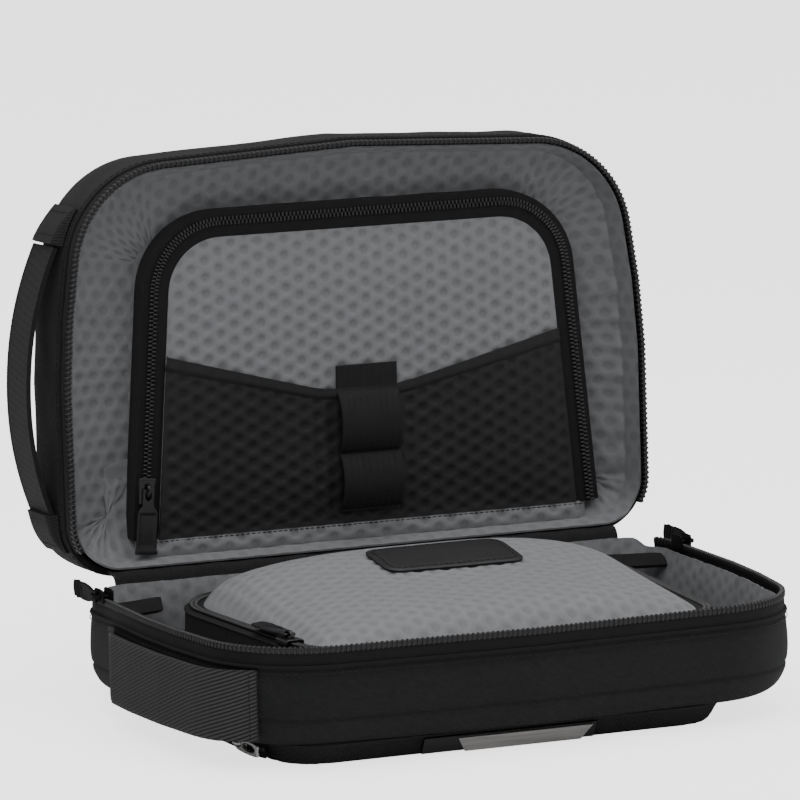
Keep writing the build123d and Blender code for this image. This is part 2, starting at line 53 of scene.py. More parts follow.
# Camera, at the angle the photograph was taken from, two and a half metres away with
# a long lens, and turned by the one degree that the photograph leans.
camera_data = bpy.data.cameras.new("camera")
camera_data.lens, camera_data.sensor_width = 287.3, 36
LEAN = math.radians(-1.05)
camera = bpy.data.objects.new("camera", camera_data)
bpy.context.collection.objects.link(camera)
camera.location = (-1.0069, -2.3221, 0.5231)
aim = Vector((-0.0052, 0.0385, 0.1226)) - camera.location
lean = Matrix.Rotation(LEAN, 3, "Z")
camera.rotation_euler = (aim.to_track_quat("-Z", "Y").to_matrix() @ lean).to_euler()
bpy.context.scene.camera = camera

# Outer cloth of the lower half: black ballistic nylon over thin foam, sewn to a
# flat base with a rounded bottom edge. It bulges a little between its two seams.
HINGE_Y, RIM_Z = 86.0, 50.0
BAG_CORNERS = [(0, 0, 0), (130, 0, 22), (130, 92, 200), (119.9, 164.7, 44), (0, 176, 904)]
BAG_CORNERS += [(-119.9, 164.7, 44), (-130, 92, 200), (-130, 0, 22)]
OPEN_ANGLE, AXIS_Y = math.radians(-92), 87.0
LID_TURN = Matrix.Translation((0, AXIS_Y / 1000, RIM_Z / 1000))
LID_TURN = LID_TURN @ Matrix.Rotation(OPEN_ANGLE, 4, "X") @ LID_TURN.inverted()
LID_BODIES = ("lid", "carry_handle", "lid_pocket_slider", "lid_pocket_pull")


def steps(edge):
    """The distances from each place of an edge to the next."""
    return np.hypot(*np.diff(edge[:, :2], axis=0).T)


def between(marks, reach, table):
    """The columns of a table at marks that lie between its own."""
    return np.array([np.interp(marks, reach, column) for column in table.T])


def rounded_edge(corners, step):
    """Even places along a rounded outline: x, v and the way that faces out."""
    dense = []
    for i, (x, v, radius) in enumerate(corners):
        before, here = Vector(corners[i - 1][:2]), Vector((x, v))
        after = Vector(corners[(i + 1) % len(corners)][:2])
        into, out = (here - before).normalized(), (after - here).normalized()
        turn = into.angle_signed(out) * -1
        reach = radius * math.tan(abs(turn) / 2)
        facing = Vector((into.y, -into.x))
        side = 1 if turn >= 0 else -1
        centre = here - into * reach - facing * radius * side
        count = max(1, int(abs(turn) * 12))
        for k in range(count + 1):
            way = Matrix.Rotation(turn * k / count, 2) @ facing
            spot = centre + way * radius * side
            dense.append((spot.x, spot.y, way.x, way.y))
    dense = np.array(dense + dense[:1])
    reach = np.concatenate([[0], np.cumsum(steps(dense))])
    edge = between(np.linspace(0, reach[-1], round(reach[-1] / step), endpoint=False), reach, dense).T
    edge[:, 2:] /= np.hypot(edge[:, 2], edge[:, 3])[:, None]
    return edge


def lay_grid(name, columns, rows, place, size, origin=(0, 0)):
    """A sheet of cloth: place gives x, v and z in mm from two arrays from 0 to 1. Its UV is in mm."""
    bpy.ops.mesh.primitive_grid_add(x_subdivisions=columns - 1, y_subdivisions=rows - 1, size=2)
    piece = bpy.context.object
    piece.name = piece.data.name = name
    mesh = piece.data
    flat = np.empty(len(mesh.vertices) * 3)
    mesh.vertices.foreach_get("co", flat)
    u, w = (flat.reshape(-1, 3)[:, :2].T + 1) / 2
    x, v, z = place(u, w)
    spots = np.stack([x, HINGE_Y - v, z], axis=1) / 1000
    mesh.vertices.foreach_set("co", spots.ravel())
    uv = np.empty(len(mesh.loops) * 2)
    layer = mesh.uv_layers.active.data
    layer.foreach_get("uv", uv)
    layer.foreach_set("uv", (uv.reshape(-1, 2) * np.array(size) + np.array(origin)).ravel())
    mesh.update()
    return piece


def wrap_cloth(name, edge, rows, lie, shut=True, tall=None):
    """Cloth wrapped round an edge: lie gives the inset and z from how far along and up it is."""
    places = np.vstack([edge, edge[:1]]) if shut else edge
    marks = np.linspace(0, 1, len(places))
    length = steps(places).sum()

    def place(u, w):
        x, v, nx, nv = between(u, marks, places)
        inset, z = lie(u * length, w, x, v)
        return x - nx * inset, v - nv * inset, z

    return lay_grid(name, len(places), rows, place, (length, tall or rows * 1.5))


def crumple(a, b, size, seed):
    """Smooth unevenness between -1 and 1, at about one size in mm."""
    total = 0
    for k in range(6):
        turn = seed * 1.7 + k * 2.4
        pace = 2 * math.pi / (size * (0.7 + 0.17 * k))
        total = total + np.sin((a * math.cos(turn) + b * math.sin(turn)) * pace + seed * 3.1 + k * 1.3)
    return total / 6


def thicken(piece, thickness):
    """Gives the active piece an even thickness, half of it to either side."""
    solid = piece.modifiers.new("thickness", "SOLIDIFY")
    solid.thickness, solid.offset = thickness, 0
    bpy.ops.object.modifier_apply(modifier="thickness")


def finish_cloth(piece, thickness):
    """Joins the cloth where it meets itself, and gives it its thickness in mm."""
    bpy.context.view_layer.objects.active = piece
    bpy.ops.object.mode_set(mode="EDIT")
    bpy.ops.mesh.select_all(action="SELECT")
    bpy.ops.mesh.remove_doubles(threshold=0.0001)
    bpy.ops.object.mode_set(mode="OBJECT")
    thicken(piece, thickness / 1000)
    bpy.ops.object.shade_smooth_by_angle(angle=math.radians(50))


def fit(piece, body, material, *nodes, slot=None):
    """Puts a finished piece on its body, if it has one, with its material and the nodes it stands for."""
    if body in LID_BODIES:
        piece.data.transform(LID_TURN)
    piece.data.materials.clear()
    piece.data.materials.append(material)
    if body:
        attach(piece, body)
    if nodes:
        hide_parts(*nodes)
    piece.select_set(False)


def new_nodes(nodes, *kinds):
    """New shader nodes of the kinds named, in their order."""
    return [nodes.new(f"ShaderNode{kind}") for kind in kinds]


def sew_on(piece, thickness, body, material, *nodes, slot=None):
    """Finishes a cloth, and fits it to its body."""
    finish_cloth(piece, thickness)
    fit(piece, body, material, *nodes, slot=slot)


def put(node, values):
    """Sets a node's inputs to constant values, by the input's name or number."""
    for socket, value in values.items():
        node.inputs[socket].default_value = value


def weave_group():
    """Threads crossing over and under: gives their height, and slow unevenness over the cloth."""
    group = bpy.data.node_groups.new("weave", "ShaderNodeTree")
    for socket, kind in (("Vector", "Vector"), ("Pitch", "Float"), ("Slant", "Float")):
        group.interface.new_socket(name=socket, in_out="INPUT", socket_type=f"NodeSocket{kind}")
    for socket in ("Height", "Uneven"):
        group.interface.new_socket(name=socket, in_out="OUTPUT", socket_type="NodeSocketFloat")
    nodes, link = group.nodes, group.links.new
    start, end = nodes.new("NodeGroupInput"), nodes.new("NodeGroupOutput")
    split = nodes.new("ShaderNodeSeparateXYZ")
    link(start.outputs["Vector"], split.inputs[0])

    def worked_out(operation, a, b=None):
        node = nodes.new("ShaderNodeMath")
        node.operation = operation
        for socket, value in zip(node.inputs, (a, b)):
            if isinstance(value, (int, float)):
                socket.default_value = value
            elif value is not None:
                link(value, socket)
        return node.outputs[0]

    pace = worked_out("DIVIDE", 2 * math.pi, start.outputs["Pitch"])
    across = worked_out("MULTIPLY", split.outputs[0], pace)
    up = worked_out("MULTIPLY", split.outputs[1], pace)
    slanted = worked_out("ADD", across, worked_out("MULTIPLY", up, start.outputs["Slant"]))
    threads = worked_out("MULTIPLY", worked_out("SINE", slanted), worked_out("SINE", up))
    noise = nodes.new("ShaderNodeTexNoise")
    link(start.outputs["Vector"], noise.inputs["Vector"])
    put(noise, {"Scale": 0.25, "Detail": 6})
    link(worked_out("ADD", worked_out("MULTIPLY", threads, 0.5), 0.5), end.inputs["Height"])
    link(noise.outputs[0], end.inputs["Uneven"])
    return group


DIMPLE_WAYS = ((1, 0), (0.5, 0.866), (-0.5, 0.866))


def pucker_group():
    """Round dimples in columns, every second column half a step down: gives a mask of the dimples, where
    painted shade darkens the cloth's colour.
    """
    group = bpy.data.node_groups.new("pucker", "ShaderNodeTree")
    group.interface.new_socket(name="Vector", in_out="INPUT", socket_type="NodeSocketVector")
    group.interface.new_socket(name="Pitch", in_out="INPUT", socket_type="NodeSocketFloat")
    group.interface.new_socket(name="Dimple", in_out="OUTPUT", socket_type="NodeSocketFloat")
    nodes, link = group.nodes, group.links.new
    start, end = nodes.new("NodeGroupInput"), nodes.new("NodeGroupOutput")
    turn_rate, waves = 7.2552, []
    for across, up in DIMPLE_WAYS:
        dot, pace, wave = new_nodes(nodes, "VectorMath", "Math", "Math")
        dot.operation, pace.operation, wave.operation = "DOT_PRODUCT", "DIVIDE", "COSINE"
        put(dot, {1: (across * turn_rate, up * turn_rate, 0)})
        link(start.outputs["Vector"], dot.inputs[0])
        link(dot.outputs["Value"], pace.inputs[0])
        link(start.outputs["Pitch"], pace.inputs[1])
        link(pace.outputs[0], wave.inputs[0])
        waves.append(wave.outputs[0])
    first, both, mask = new_nodes(nodes, "Math", "Math", "MapRange")
    link(waves[0], first.inputs[0])
    link(waves[1], first.inputs[1])
    link(first.outputs[0], both.inputs[0])
    link(waves[2], both.inputs[1])
    mask.interpolation_type = "SMOOTHSTEP"
    put(mask, {"From Min": -0.6, "From Max": 1.2})
    link(both.outputs[0], mask.inputs["Value"])
    link(mask.outputs[0], end.inputs["Dimple"])
    return group


WEAVE = weave_group()
PUCKER = pucker_group()


def cloth_material(name, dark, light, pitch, slant=0.0, rough=0.8, sheen=0.03, relief=0.12,
                   stretch=(1, 1), gloss=0.2, pucker=0):
    """Woven cloth, with its threads laid along the piece's own UV map in mm; with pucker, its colour also
    gets painted shade in the dimples.
    """
    material = bpy.data.materials.new(name)
    material.use_nodes = True
    nodes, link = material.node_tree.nodes, material.node_tree.links.new
    shader = nodes["Principled BSDF"]
    place, mapping = new_nodes(nodes, "TexCoord", "Mapping")
    put(mapping, {"Scale": (*stretch, 1)})
    link(place.outputs["UV"], mapping.inputs["Vector"])
    weave = nodes.new("ShaderNodeGroup")
    weave.node_tree = WEAVE
    put(weave, {"Pitch": pitch, "Slant": slant})
    link(mapping.outputs[0], weave.inputs["Vector"])
    shade, blend, softened, bump = new_nodes(nodes, "Mix", "Math", "Math", "Bump")
    shade.data_type = "RGBA"
    put(shade, {"A": (*dark, 1), "B": (*light, 1)})
    blend.operation = "MULTIPLY_ADD"
    link(weave.outputs["Height"], blend.inputs[0])
    put(blend, {1: 0.55})
    softened.operation = "MULTIPLY"
    put(softened, {1: 0.6})
    link(weave.outputs["Uneven"], softened.inputs[0])
    link(softened.outputs[0], blend.inputs[2])
    link(blend.outputs[0], shade.inputs["Factor"])
    link(shade.outputs["Result"], shader.inputs["Base Color"])
    # Painted shade: the colour is darkened to 0.84 of itself in the seersucker's dimples, where shade falls
    # in them.
    if pucker:
        dimple_shade_mask, dimple_shade = new_nodes(nodes, "Group", "Mix")
        dimple_shade_mask.node_tree = PUCKER
        put(dimple_shade_mask, {"Pitch": pucker})
        link(place.outputs["UV"], dimple_shade_mask.inputs["Vector"])
        dimple_shade.data_type, dimple_shade.blend_type = "RGBA", "MULTIPLY"
        put(dimple_shade, {"B": (0.84, 0.84, 0.84, 1)})
        link(dimple_shade_mask.outputs[0], dimple_shade.inputs["Factor"])
        link(shade.outputs["Result"], dimple_shade.inputs["A"])
        link(dimple_shade.outputs["Result"], shader.inputs["Base Color"])
    put(shader, {"Specular IOR Level": gloss, "Roughness": rough})
    put(shader, {"Sheen Weight": sheen, "Sheen Roughness": 0.5})
    put(bump, {"Strength": relief * 4, "Distance": 0.0003})
    link(weave.outputs["Height"], bump.inputs["Height"])
    link(bump.outputs[0], shader.inputs["Normal"])
    return material


NYLON = cloth_material("black_nylon", (0.004, 0.004, 0.0045), (0.022, 0.022, 0.023), 1.2, slant=0.5,
                       rough=0.7, relief=0.3)
bag_edge = rounded_edge(BAG_CORNERS, 2.0)
WALL_LOW, WALL_TALL, BASE_ROUND, ROUND_SHARE = 9.5, 32.0, 10, 0.4
WALL_INSET, WALL_BELLY, WALL_WAVE = 1.0, 1.2, 0.5


def lower_wall(s, w, x, v):
    corner = np.clip(w / ROUND_SHARE, 0, 1) * math.pi / 2
    inset = np.where(w < ROUND_SHARE, BASE_ROUND * (1 - np.sin(corner)), 0)
    rounded = WALL_LOW + BASE_ROUND * (1 - np.cos(corner))
    upright = WALL_LOW + BASE_ROUND + (w - ROUND_SHARE) / 0.6 * (WALL_TALL - BASE_ROUND)
    z = np.where(w < ROUND_SHARE, rounded, upright)
    belly = np.sin(np.clip((w - 0.3) / 0.7, 0, 1) * math.pi)
    inset = inset - WALL_BELLY * belly - WALL_WAVE * belly * crumple(s, z * 2, 34, 2)
    seam = np.exp(-(((w - 0.42) / 0.025) ** 2))
    return inset + 0.7 * seam + WALL_INSET, z


cloth = wrap_cloth("lower_wall_cloth", bag_edge, 40, lower_wall)
sew_on(cloth, 1.8, "lower_half", NYLON, "lower_gusset", "lower_piping", "lower_foam")


# Base cloth and the flat front pocket that the bag lies on: the same nylon, the pocket
# padded a little with its sides sloping in to the face that touches the table.
POCKET_CORNERS = [(-6, 12, 0), (100, 12, 24), (90, 162, 24), (-106, 162, 24), (-112, 12, 24)]
BASE_IN, BASE_Z = 9.8, 10.3
POCKET_FACE, POCKET_DEEP, POCKET_SLOPE, POCKET_PUFF = 0.8, 8.6, 6.5, 0.25


def kept_inside(edge, x, v):
    """Places moved in to the edge where they lie outside it, and how far in from it they are."""
    near = np.empty(len(x), dtype=int)
    for k in range(0, len(x), 4000):
        part = slice(k, k + 4000)
        far = (x[part, None] - edge[None, :, 0]) ** 2 + (v[part, None] - edge[None, :, 1]) ** 2
        near[part] = far.argmin(axis=1)
    ex, ev, nx, nv = edge[near].T
    inside = -((x - ex) * nx + (v - ev) * nv)
    return np.where(inside < 0, ex, x), np.where(inside < 0, ev, v), np.maximum(inside, 0)


def spread_cloth(name, edge, gap, height):
    """Flat cloth cut to an outline: height gives z from x, v and how far in from the edge it is."""
    (x0, v0), (x1, v1) = edge[:, :2].min(axis=0), edge[:, :2].max(axis=0)
    columns, rows = int((x1 - x0) / gap) + 2, int((v1 - v0) / gap) + 2

    def place(u, w):
        x, v, inside = kept_inside(edge, x0 + u * (x1 - x0), v0 + w * (v1 - v0))
        return x, v, height(x, v, inside)

    return lay_grid(name, columns, rows, place, (x1 - x0, v1 - v0), (x0, v0))


def ease(t):
    """Rises smoothly from 0 to 1 as t does."""
    t = np.clip(t, 0, 1)
    return t * t * (3 - 2 * t)


def drawn_in(edge, inset):
    """The outline again, drawn in by an inset in mm."""
    inner = edge.copy()
    inner[:, :2] -= inner[:, 2:] * inset
    return inner


cloth = spread_cloth("base_cloth", drawn_in(bag_edge, BASE_IN), 4, lambda x, v, d: BASE_Z + 0 * x)
sew_on(cloth, 1.8, "lower_half", NYLON, "base_panel", "base_board", "base_foam")
pocket_edge = rounded_edge(POCKET_CORNERS, 2.0)


def pocket_height(x, v, d):
    slope = POCKET_DEEP * (1 - ease(d / POCKET_SLOPE))
    return POCKET_FACE + slope + POCKET_PUFF * ease(d / 20) * (1 + crumple(x, v, 45, 5))


cloth = spread_cloth("front_pocket_cloth", pocket_edge, 2.0, pocket_height)
sew_on(cloth, 1.4, "lower_half", NYLON, "front_pocket")


# Zip tape round both rims: a band of close-woven tape sewn to the outer cloth with a
# row of stitches and a narrow piping. It stops short of the hinge edge.
TAPE = cloth_material("black_tape", (0.004, 0.004, 0.0043), (0.014, 0.014, 0.0145), 0.7, rough=0.8,
                      stretch=(1, 0.6))
THREAD = cloth_material("black_thread", (0.008, 0.008, 0.009), (0.024, 0.024, 0.025), 0.4, rough=0.6)
ZIP_START_V, TAPE_INSET, TAPE_LOW, TAPE_TALL = 9.0, 1.0, 40.2, 6.6
PIPING_Z, PIPING_RADIUS, SEAM_STITCH_Z = 41.0, 0.75, 38.6
zip_edge = bag_edge[bag_edge[:, 1] > ZIP_START_V]


def tape_band(s, w, x, v):
    lean = 0.5 * np.sin(w * math.pi) + 0.25 * crumple(s, w * 12, 28, 9)
    return TAPE_INSET - lean * 0.8, TAPE_LOW + w * TAPE_TALL


def piping(s, w, x, v):
    turn = w * 2 * math.pi
    return -0.1 - PIPING_RADIUS * np.cos(turn), PIPING_Z + PIPING_RADIUS * np.sin(turn)


def repeat(name, part, spots, ahead, side, rise):
    """A small part copied to every spot in one mesh, each copy turned by its three directions."""
    shape = np.array([corner.co for corner in part.data.vertices])
    faces = [tuple(face.vertices) for face in part.data.polygons]
    bpy.data.objects.remove(part)
    places = spots[:, None] + shape[None, :, :1] * ahead[:, None]
    places = places + shape[None, :, 1:2] * side[:, None] + shape[None, :, 2:] * rise[:, None]
    all_faces = [tuple(i + k * len(shape) for i in face) for k in range(len(spots)) for face in faces]
    mesh = bpy.data.meshes.new(name)
    mesh.from_pydata([tuple(place) for place in places.reshape(-1, 3) / 1000], [], all_faces)
    row = bpy.data.objects.new(name, mesh)
    bpy.context.collection.objects.link(row)
    return row


def sew_line(name, points, gap, body):
    """A row of stitches through points of x, v and z: short rounded threads that lie along the cloth."""
    lain = (0, math.pi / 2, 0)
    bpy.ops.mesh.primitive_cylinder_add(vertices=6, radius=0.21, depth=gap * 0.66, rotation=lain)
    stitch = bpy.context.object
    bpy.ops.object.transform_apply(rotation=True)
    points = np.array(points, float) * (1, -1, 1) + (0, HINGE_Y, 0)
    reach = np.concatenate([[0], np.cumsum(np.linalg.norm(np.diff(points, axis=0), axis=1))])
    marks = np.arange(gap / 2, reach[-1], gap)
    spots, before, after = [between(marks + shift, reach, points).T for shift in (0, -0.3, 0.3)]
    ahead = (after - spots) + (spots - before)
    ahead = ahead / np.linalg.norm(ahead, axis=1)[:, None]
    side = np.cross(ahead, np.where(np.abs(ahead[:, 2:]) > 0.9, (1.0, 0, 0), (0, 0, 1.0)))
    side = side / np.linalg.norm(side, axis=1)[:, None]
    row = repeat(name, stitch, spots, ahead, side, np.cross(ahead, side))
    fit(row, body, THREAD, slot="black_tape")
    return row


def turned_over(lie, over):
    """The same lie for the lid, whose rim faces the other way."""
    if not over:
        return lie

    def lid_lie(s, w, x, v):
        inset, z = lie(s, w, x, v)
        return inset, 2 * RIM_Z - z

    return lid_lie


for half, body in (("lower", "lower_half"), ("lid", "lid")):
    in_lid = half == "lid"
    band = wrap_cloth(f"{half}_tape_band", zip_edge, 9, turned_over(tape_band, in_lid), shut=False)
    sew_on(band, 1.1, body, TAPE, f"{half}_tape")
    trim = wrap_cloth(f"{half}_seam_piping", bag_edge, 9, turned_over(piping, in_lid))
    sew_on(trim, 0.3, body, TAPE)
    height = 2 * RIM_Z - SEAM_STITCH_Z if in_lid else SEAM_STITCH_Z
    line = [(x + nx * 0.9, v + nv * 0.9, height) for x, v, nx, nv in bag_edge]
    sew_line(f"{half}_seam_stitches", line, 3.0, body)
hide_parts("lid_piping")


# Main zip: a black nylon coil on each rim, woven to the edge of its tape. Its turns stand
# up like a comb, 2.1 mm apart, round a cord that runs through them all.
COIL = bpy.data.materials.new("black_coil")
COIL.use_nodes = True
coil_nodes, coil_link = COIL.node_tree.nodes, COIL.node_tree.links.new
coil_shader = coil_nodes["Principled BSDF"]
coil_place, coil_noise, coil_ramp = new_nodes(coil_nodes, "TexCoord", "TexNoise", "MapRange")
put(coil_noise, {"Scale": 900})
put(coil_ramp, {"To Min": 0.28, "To Max": 0.5})
put(coil_shader, {"Base Color": (0.012, 0.012, 0.013, 1)})
coil_link(coil_place.outputs["Object"], coil_noise.inputs["Vector"])
coil_link(coil_noise.outputs[0], coil_ramp.inputs["Value"])
coil_link(coil_ramp.outputs[0], coil_shader.inputs["Roughness"])
CHAIN_Z, CHAIN_INSET, CHAIN_PITCH, CHAIN_TOOTH = 47.7, 1.0, 2.1, (1.35, 2.5, 3.0)


def coil_zip(name, edge, pitch, size, lie, shut=False, start=0.5):
    """Zip teeth along an edge: size is along, across and high; lie is the inset, z and lean of the row."""
    bpy.ops.mesh.primitive_cube_add(size=1)
    tooth = bpy.context.object
    tooth.scale = size
    bpy.ops.object.transform_apply(scale=True)
    bevel = tooth.modifiers.new("round", "BEVEL")
    bevel.width, bevel.segments = min(size) * 0.46, 2
    bpy.ops.object.modifier_apply(modifier="round")
    places = np.vstack([edge, edge[:1]]) if shut else edge
    reach = np.concatenate([[0], np.cumsum(steps(places))])
    x, v, nx, nv = between(np.arange(pitch * start, reach[-1] - pitch / 4, pitch), reach, places)
    inset, z, lean = lie
    out = np.stack([nx, -nv, 0 * nx], axis=1)
    ahead = np.stack([-nv, -nx, 0 * nx], axis=1)
    up = np.array([0, 0, 1.0])
    side = out * math.cos(lean) + up * math.sin(lean)
    rise = up * math.cos(lean) - out * math.sin(lean)
    middle = np.stack([x - nx * inset, HINGE_Y - v + nv * inset, 0 * x + z], axis=1)
    chain = repeat(name, tooth, middle, ahead, side, rise)
    chain.data.shade_smooth()
    return chain


for half, body in (("lower", "lower_half"), ("lid", "lid")):
    in_lid = half == "lid"
    z = 2 * RIM_Z - CHAIN_Z if in_lid else CHAIN_Z
    teeth = coil_zip(f"{half}_zip_teeth", zip_edge, CHAIN_PITCH, CHAIN_TOOTH, (CHAIN_INSET, z, 0))
    fit(teeth, body, COIL, f"{half}_chain")

    def core_lie(s, w, x, v):
        return CHAIN_INSET, z - 1.0 + 2.0 * w

    core = wrap_cloth(f"{half}_zip_core", zip_edge, 4, core_lie, shut=False)
    sew_on(core, 1.3, body, COIL)


# Lining of the lower half: grey crinkled cloth hung loosely inside the wall, and gathered
# a little where it is sewn in under the zip tape.
PUCKER_PITCH = 6.8
LINING_INSET, LINING_FOOT, LINING_TALL, LINING_FLOOR_Z = 5.4, 16, 29.2, 15.6
GREY = cloth_material("grey_lining", (0.15, 0.152, 0.16), (0.235, 0.238, 0.25), 0.5, rough=0.6, sheen=0.12,
                      relief=0.05, gloss=0.35, pucker=PUCKER_PITCH)


def dimples(a, b, depth):
    """How far the round dimples of the seersucker are pressed in at a place of the cloth, in mm."""
    pace, total = 4 * math.pi / (math.sqrt(3) * PUCKER_PITCH), 0
    for across, up in DIMPLE_WAYS:
        total = total + np.cos(pace * (across * a + up * b))
    return depth * ease((total + 0.6) / 1.8)


def lower_lining_wall(s, w, x, v):
    gather = np.exp(-(((1 - w) / 0.3) ** 2))
    fold = 0.7 * gather * crumple(s, w * 10, 9, 4) + 0.9 * crumple(s, w * 26, 31, 7)
    by_hinge = 3.4 * ease(w) * ease((8 - v) / 5)
    inset = LINING_INSET + fold * 0.8 - 2.4 * w ** 3 + dimples(s, w * 29, 0.35)
    return inset, LINING_FOOT + LINING_TALL * w + by_hinge


cloth = wrap_cloth("lower_lining_cloth", bag_edge, 26, lower_lining_wall, tall=29)
sew_on(cloth, 0.8, "lower_half", GREY, "lower_lining")


def lining_floor(x, v, d):
    return LINING_FLOOR_Z - dimples(x, v, 0.3)


cloth = spread_cloth("lower_lining_floor", drawn_in(bag_edge, 5.2), 2.0, lining_floor)
sew_on(cloth, 0.8, "lower_half", GREY)


# Domed pocket in the lower half: a black cloth wall, a coil zip round the top on its
# tape, and a moulded, foam-backed cover in the grey cloth.
DOME_CORNERS = [(-2, 16, 0), (99, 16, 38), (88, 162, 24), (-92, 162, 24), (-104, 16, 38)]
dome_edge = rounded_edge(DOME_CORNERS, 1.2)
DOME_FOOT, DOME_WALL_TALL, DOME_TAPE_WIDE, DOME_TAPE_Z, DOME_COIL_Z = 16.2, 27.2, 8.2, 43.3, 45.3
POCKET_PITCH, POCKET_TOOTH = 1.7, (1.15, 2.1, 1.5)
COVER_Z, SWELL_ALL, SWELL_BACK, SWELL_BACK_V, COVER_IN = 43.6, 13.5, 7.5, 50, 7.4
PUCKER_DEEP = 0.7


def dome_wall(s, w, x, v):
    fold = 0.8 * np.sin(w * math.pi * 3.2 + 0.7 * crumple(s, s, 40, 3)) * np.sin(w * math.pi)
    return 0.8 - 0.9 * np.sin(w * math.pi) + fold * 0.6, DOME_FOOT + DOME_WALL_TALL * w


def coil_rows(pocket, edge, insets, z, lean, body):
    """The two rows of a pocket zip's closed coil, meshed half a tooth apart."""
    for row, start, inset in zip(("outer", "inner"), (0.25, 0.75), insets):
        teeth = coil_zip(f"{pocket}_zip_teeth_{row}", edge, POCKET_PITCH, POCKET_TOOTH,
                         (inset, z, lean), shut=pocket == "dome", start=start)
        fit(teeth, body, COIL, f"{pocket}_chain")


def dome_tape_lie(s, w, x, v):
    return DOME_TAPE_WIDE * w - 0.3, DOME_TAPE_Z + 1.5 * np.sin(w * 2.2)


cloth = wrap_cloth("dome_wall_cloth", dome_edge, 22, dome_wall)
sew_on(cloth, 1.2, "lower_half", NYLON, "dome_gusset")
cloth = wrap_cloth("dome_zip_tape", dome_edge, 8, dome_tape_lie)
sew_on(cloth, 0.8, "lower_half", TAPE, "dome_tape")
coil_rows("dome", dome_edge, (2.7, 4.4), DOME_COIL_Z, 0.12, "lower_half")


def dome_crown(x, v, d):
    left, right = np.interp(v, (16, 162), (-104, -92)), np.interp(v, (16, 162), (99, 88))
    across, along = (2 * x - left - right) / (right - left), (v - 89) / 73
    full = ((1 - np.minimum(np.abs(across), 1) ** 3.2) * (1 - np.minimum(np.abs(along), 1) ** 3.2)) ** 0.75
    swell = SWELL_ALL + SWELL_BACK * np.exp(-(((v - SWELL_BACK_V) / 42) ** 2))
    return COVER_Z + swell * full * (1 - np.exp(-d / 4)) + 0.5 * crumple(x, v, 70, 8) * ease(d / 20)


def dome_height(x, v, d):
    return dome_crown(x, v, d) - dimples(x, v, PUCKER_DEEP) * ease(d / 3)


cover_edge = drawn_in(dome_edge, COVER_IN)
dome_cover = spread_cloth("dome_cover", cover_edge, 0.95, dome_height)
finish_cloth(dome_cover, 1.2)
fit(dome_cover, "lower_half", GREY, "dome_panel")
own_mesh(dome_cover)


# Leather patch sewn on the dome: grained black leather with rounded corners, a pressed
# edge and a row of stitches just inside it. It is left bare.
def grained(name, base, grain, gloss, rough, metal=0.0, stretch=(1, 1, 1), pits=0.25):
    """A leather, cast or brushed surface: fine noise in its colour, its gloss and its relief."""
    material = bpy.data.materials.new(name)
    material.use_nodes = True
    nodes, link = material.node_tree.nodes, material.node_tree.links.new
    shader, shade, bump = nodes["Principled BSDF"], *new_nodes(nodes, "Mix", "Bump")
    place, mapping, noise, wear = new_nodes(nodes, "TexCoord", "Mapping", "TexNoise", "MapRange")
    put(mapping, {"Scale": stretch})
    put(noise, {"Scale": grain, "Detail": 5})
    link(place.outputs["Object"], mapping.inputs["Vector"])
    link(mapping.outputs[0], noise.inputs["Vector"])
    shade.data_type = "RGBA"
    put(shade, {"A": (*[c * 0.6 for c in base], 1), "B": (*[c * 1.5 for c in base], 1)})
    link(noise.outputs[0], shade.inputs["Factor"])
    link(shade.outputs["Result"], shader.inputs["Base Color"])
    put(wear, {"To Min": rough[0], "To Max": rough[1]})
    link(noise.outputs[0], wear.inputs["Value"])
    link(wear.outputs[0], shader.inputs["Roughness"])
    put(bump, {"Strength": pits, "Distance": 0.0004})
    link(noise.outputs[0], bump.inputs["Height"])
    link(bump.outputs[0], shader.inputs["Normal"])
    put(shader, {"Specular IOR Level": gloss, "Metallic": metal})
    return material


LEATHER = grained("black_leather", (0.009, 0.009, 0.01), 900, 0.45, (0.38, 0.62))
PATCH_CORNERS = [(-30, 63, 6), (30, 63, 6), (30, 93, 6), (-30, 93, 6)]
PATCH_LIFT, PATCH_STITCH_IN = 1.0, 2.6
patch_edge = rounded_edge(PATCH_CORNERS, 0.8)


def patch_height(x, v, d):
    inside = kept_inside(cover_edge, x, v)[2]
    groove = 0.25 * np.exp(-(((d - PATCH_STITCH_IN) / 0.5) ** 2))
    return dome_crown(x, v, inside) + PATCH_LIFT + 0.5 * ease(d / 1.4) - groove


leather_patch = spread_cloth("leather_patch_face", patch_edge, 0.8, patch_height)
sew_on(leather_patch, 1.2, "lower_half", LEATHER, "leather_patch", slot="leather")
stitch_edge = drawn_in(patch_edge, PATCH_STITCH_IN)
stitch_x, stitch_v = stitch_edge[:, :2].T
stitch_z = patch_height(stitch_x, stitch_v, np.full(len(stitch_edge), PATCH_STITCH_IN)) + 0.75
patch_line = np.column_stack([stitch_x, stitch_v, stitch_z])
patch_line = np.vstack([patch_line, patch_line[:1]])
patch_stitches = sew_line("leather_patch_stitches", patch_line, 2.6, "lower_half")
for sewn in (leather_patch, patch_stitches):
    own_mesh(sewn)


# Tape ends at the hinge corners: the last of the zip's woven tape, turned in over each
# corner and left to slope down into the bag.
END_LONG, END_WIDE, END_SLOPE, END_X, END_V, END_Z = 29, 8, 4, 112, 17, 42.8
for side, name in ((-1, "left"), (1, "right")):

    def tab_place(u, w):
        long, turn = (u - 0.5) * END_LONG, math.radians(15 * side)
        wide = (w - 0.5) * END_WIDE * (1 - 0.25 * ease((abs(u - 0.5) - 0.42) / 0.08))
        x = side * END_X + long * math.cos(turn) + wide * math.sin(turn)
        v = END_V + (long * math.sin(turn) + wide * math.cos(turn))
        return x, v, END_Z - END_SLOPE * w + 0.3 * np.sin(u * 9) * np.sin(w * 3)

    tape_end = lay_grid(f"tape_end_{name}", 30, 9, tab_place, (END_LONG, END_WIDE))
    sew_on(tape_end, 1.5, "lower_half", TAPE, f"tape_tab_{name}")


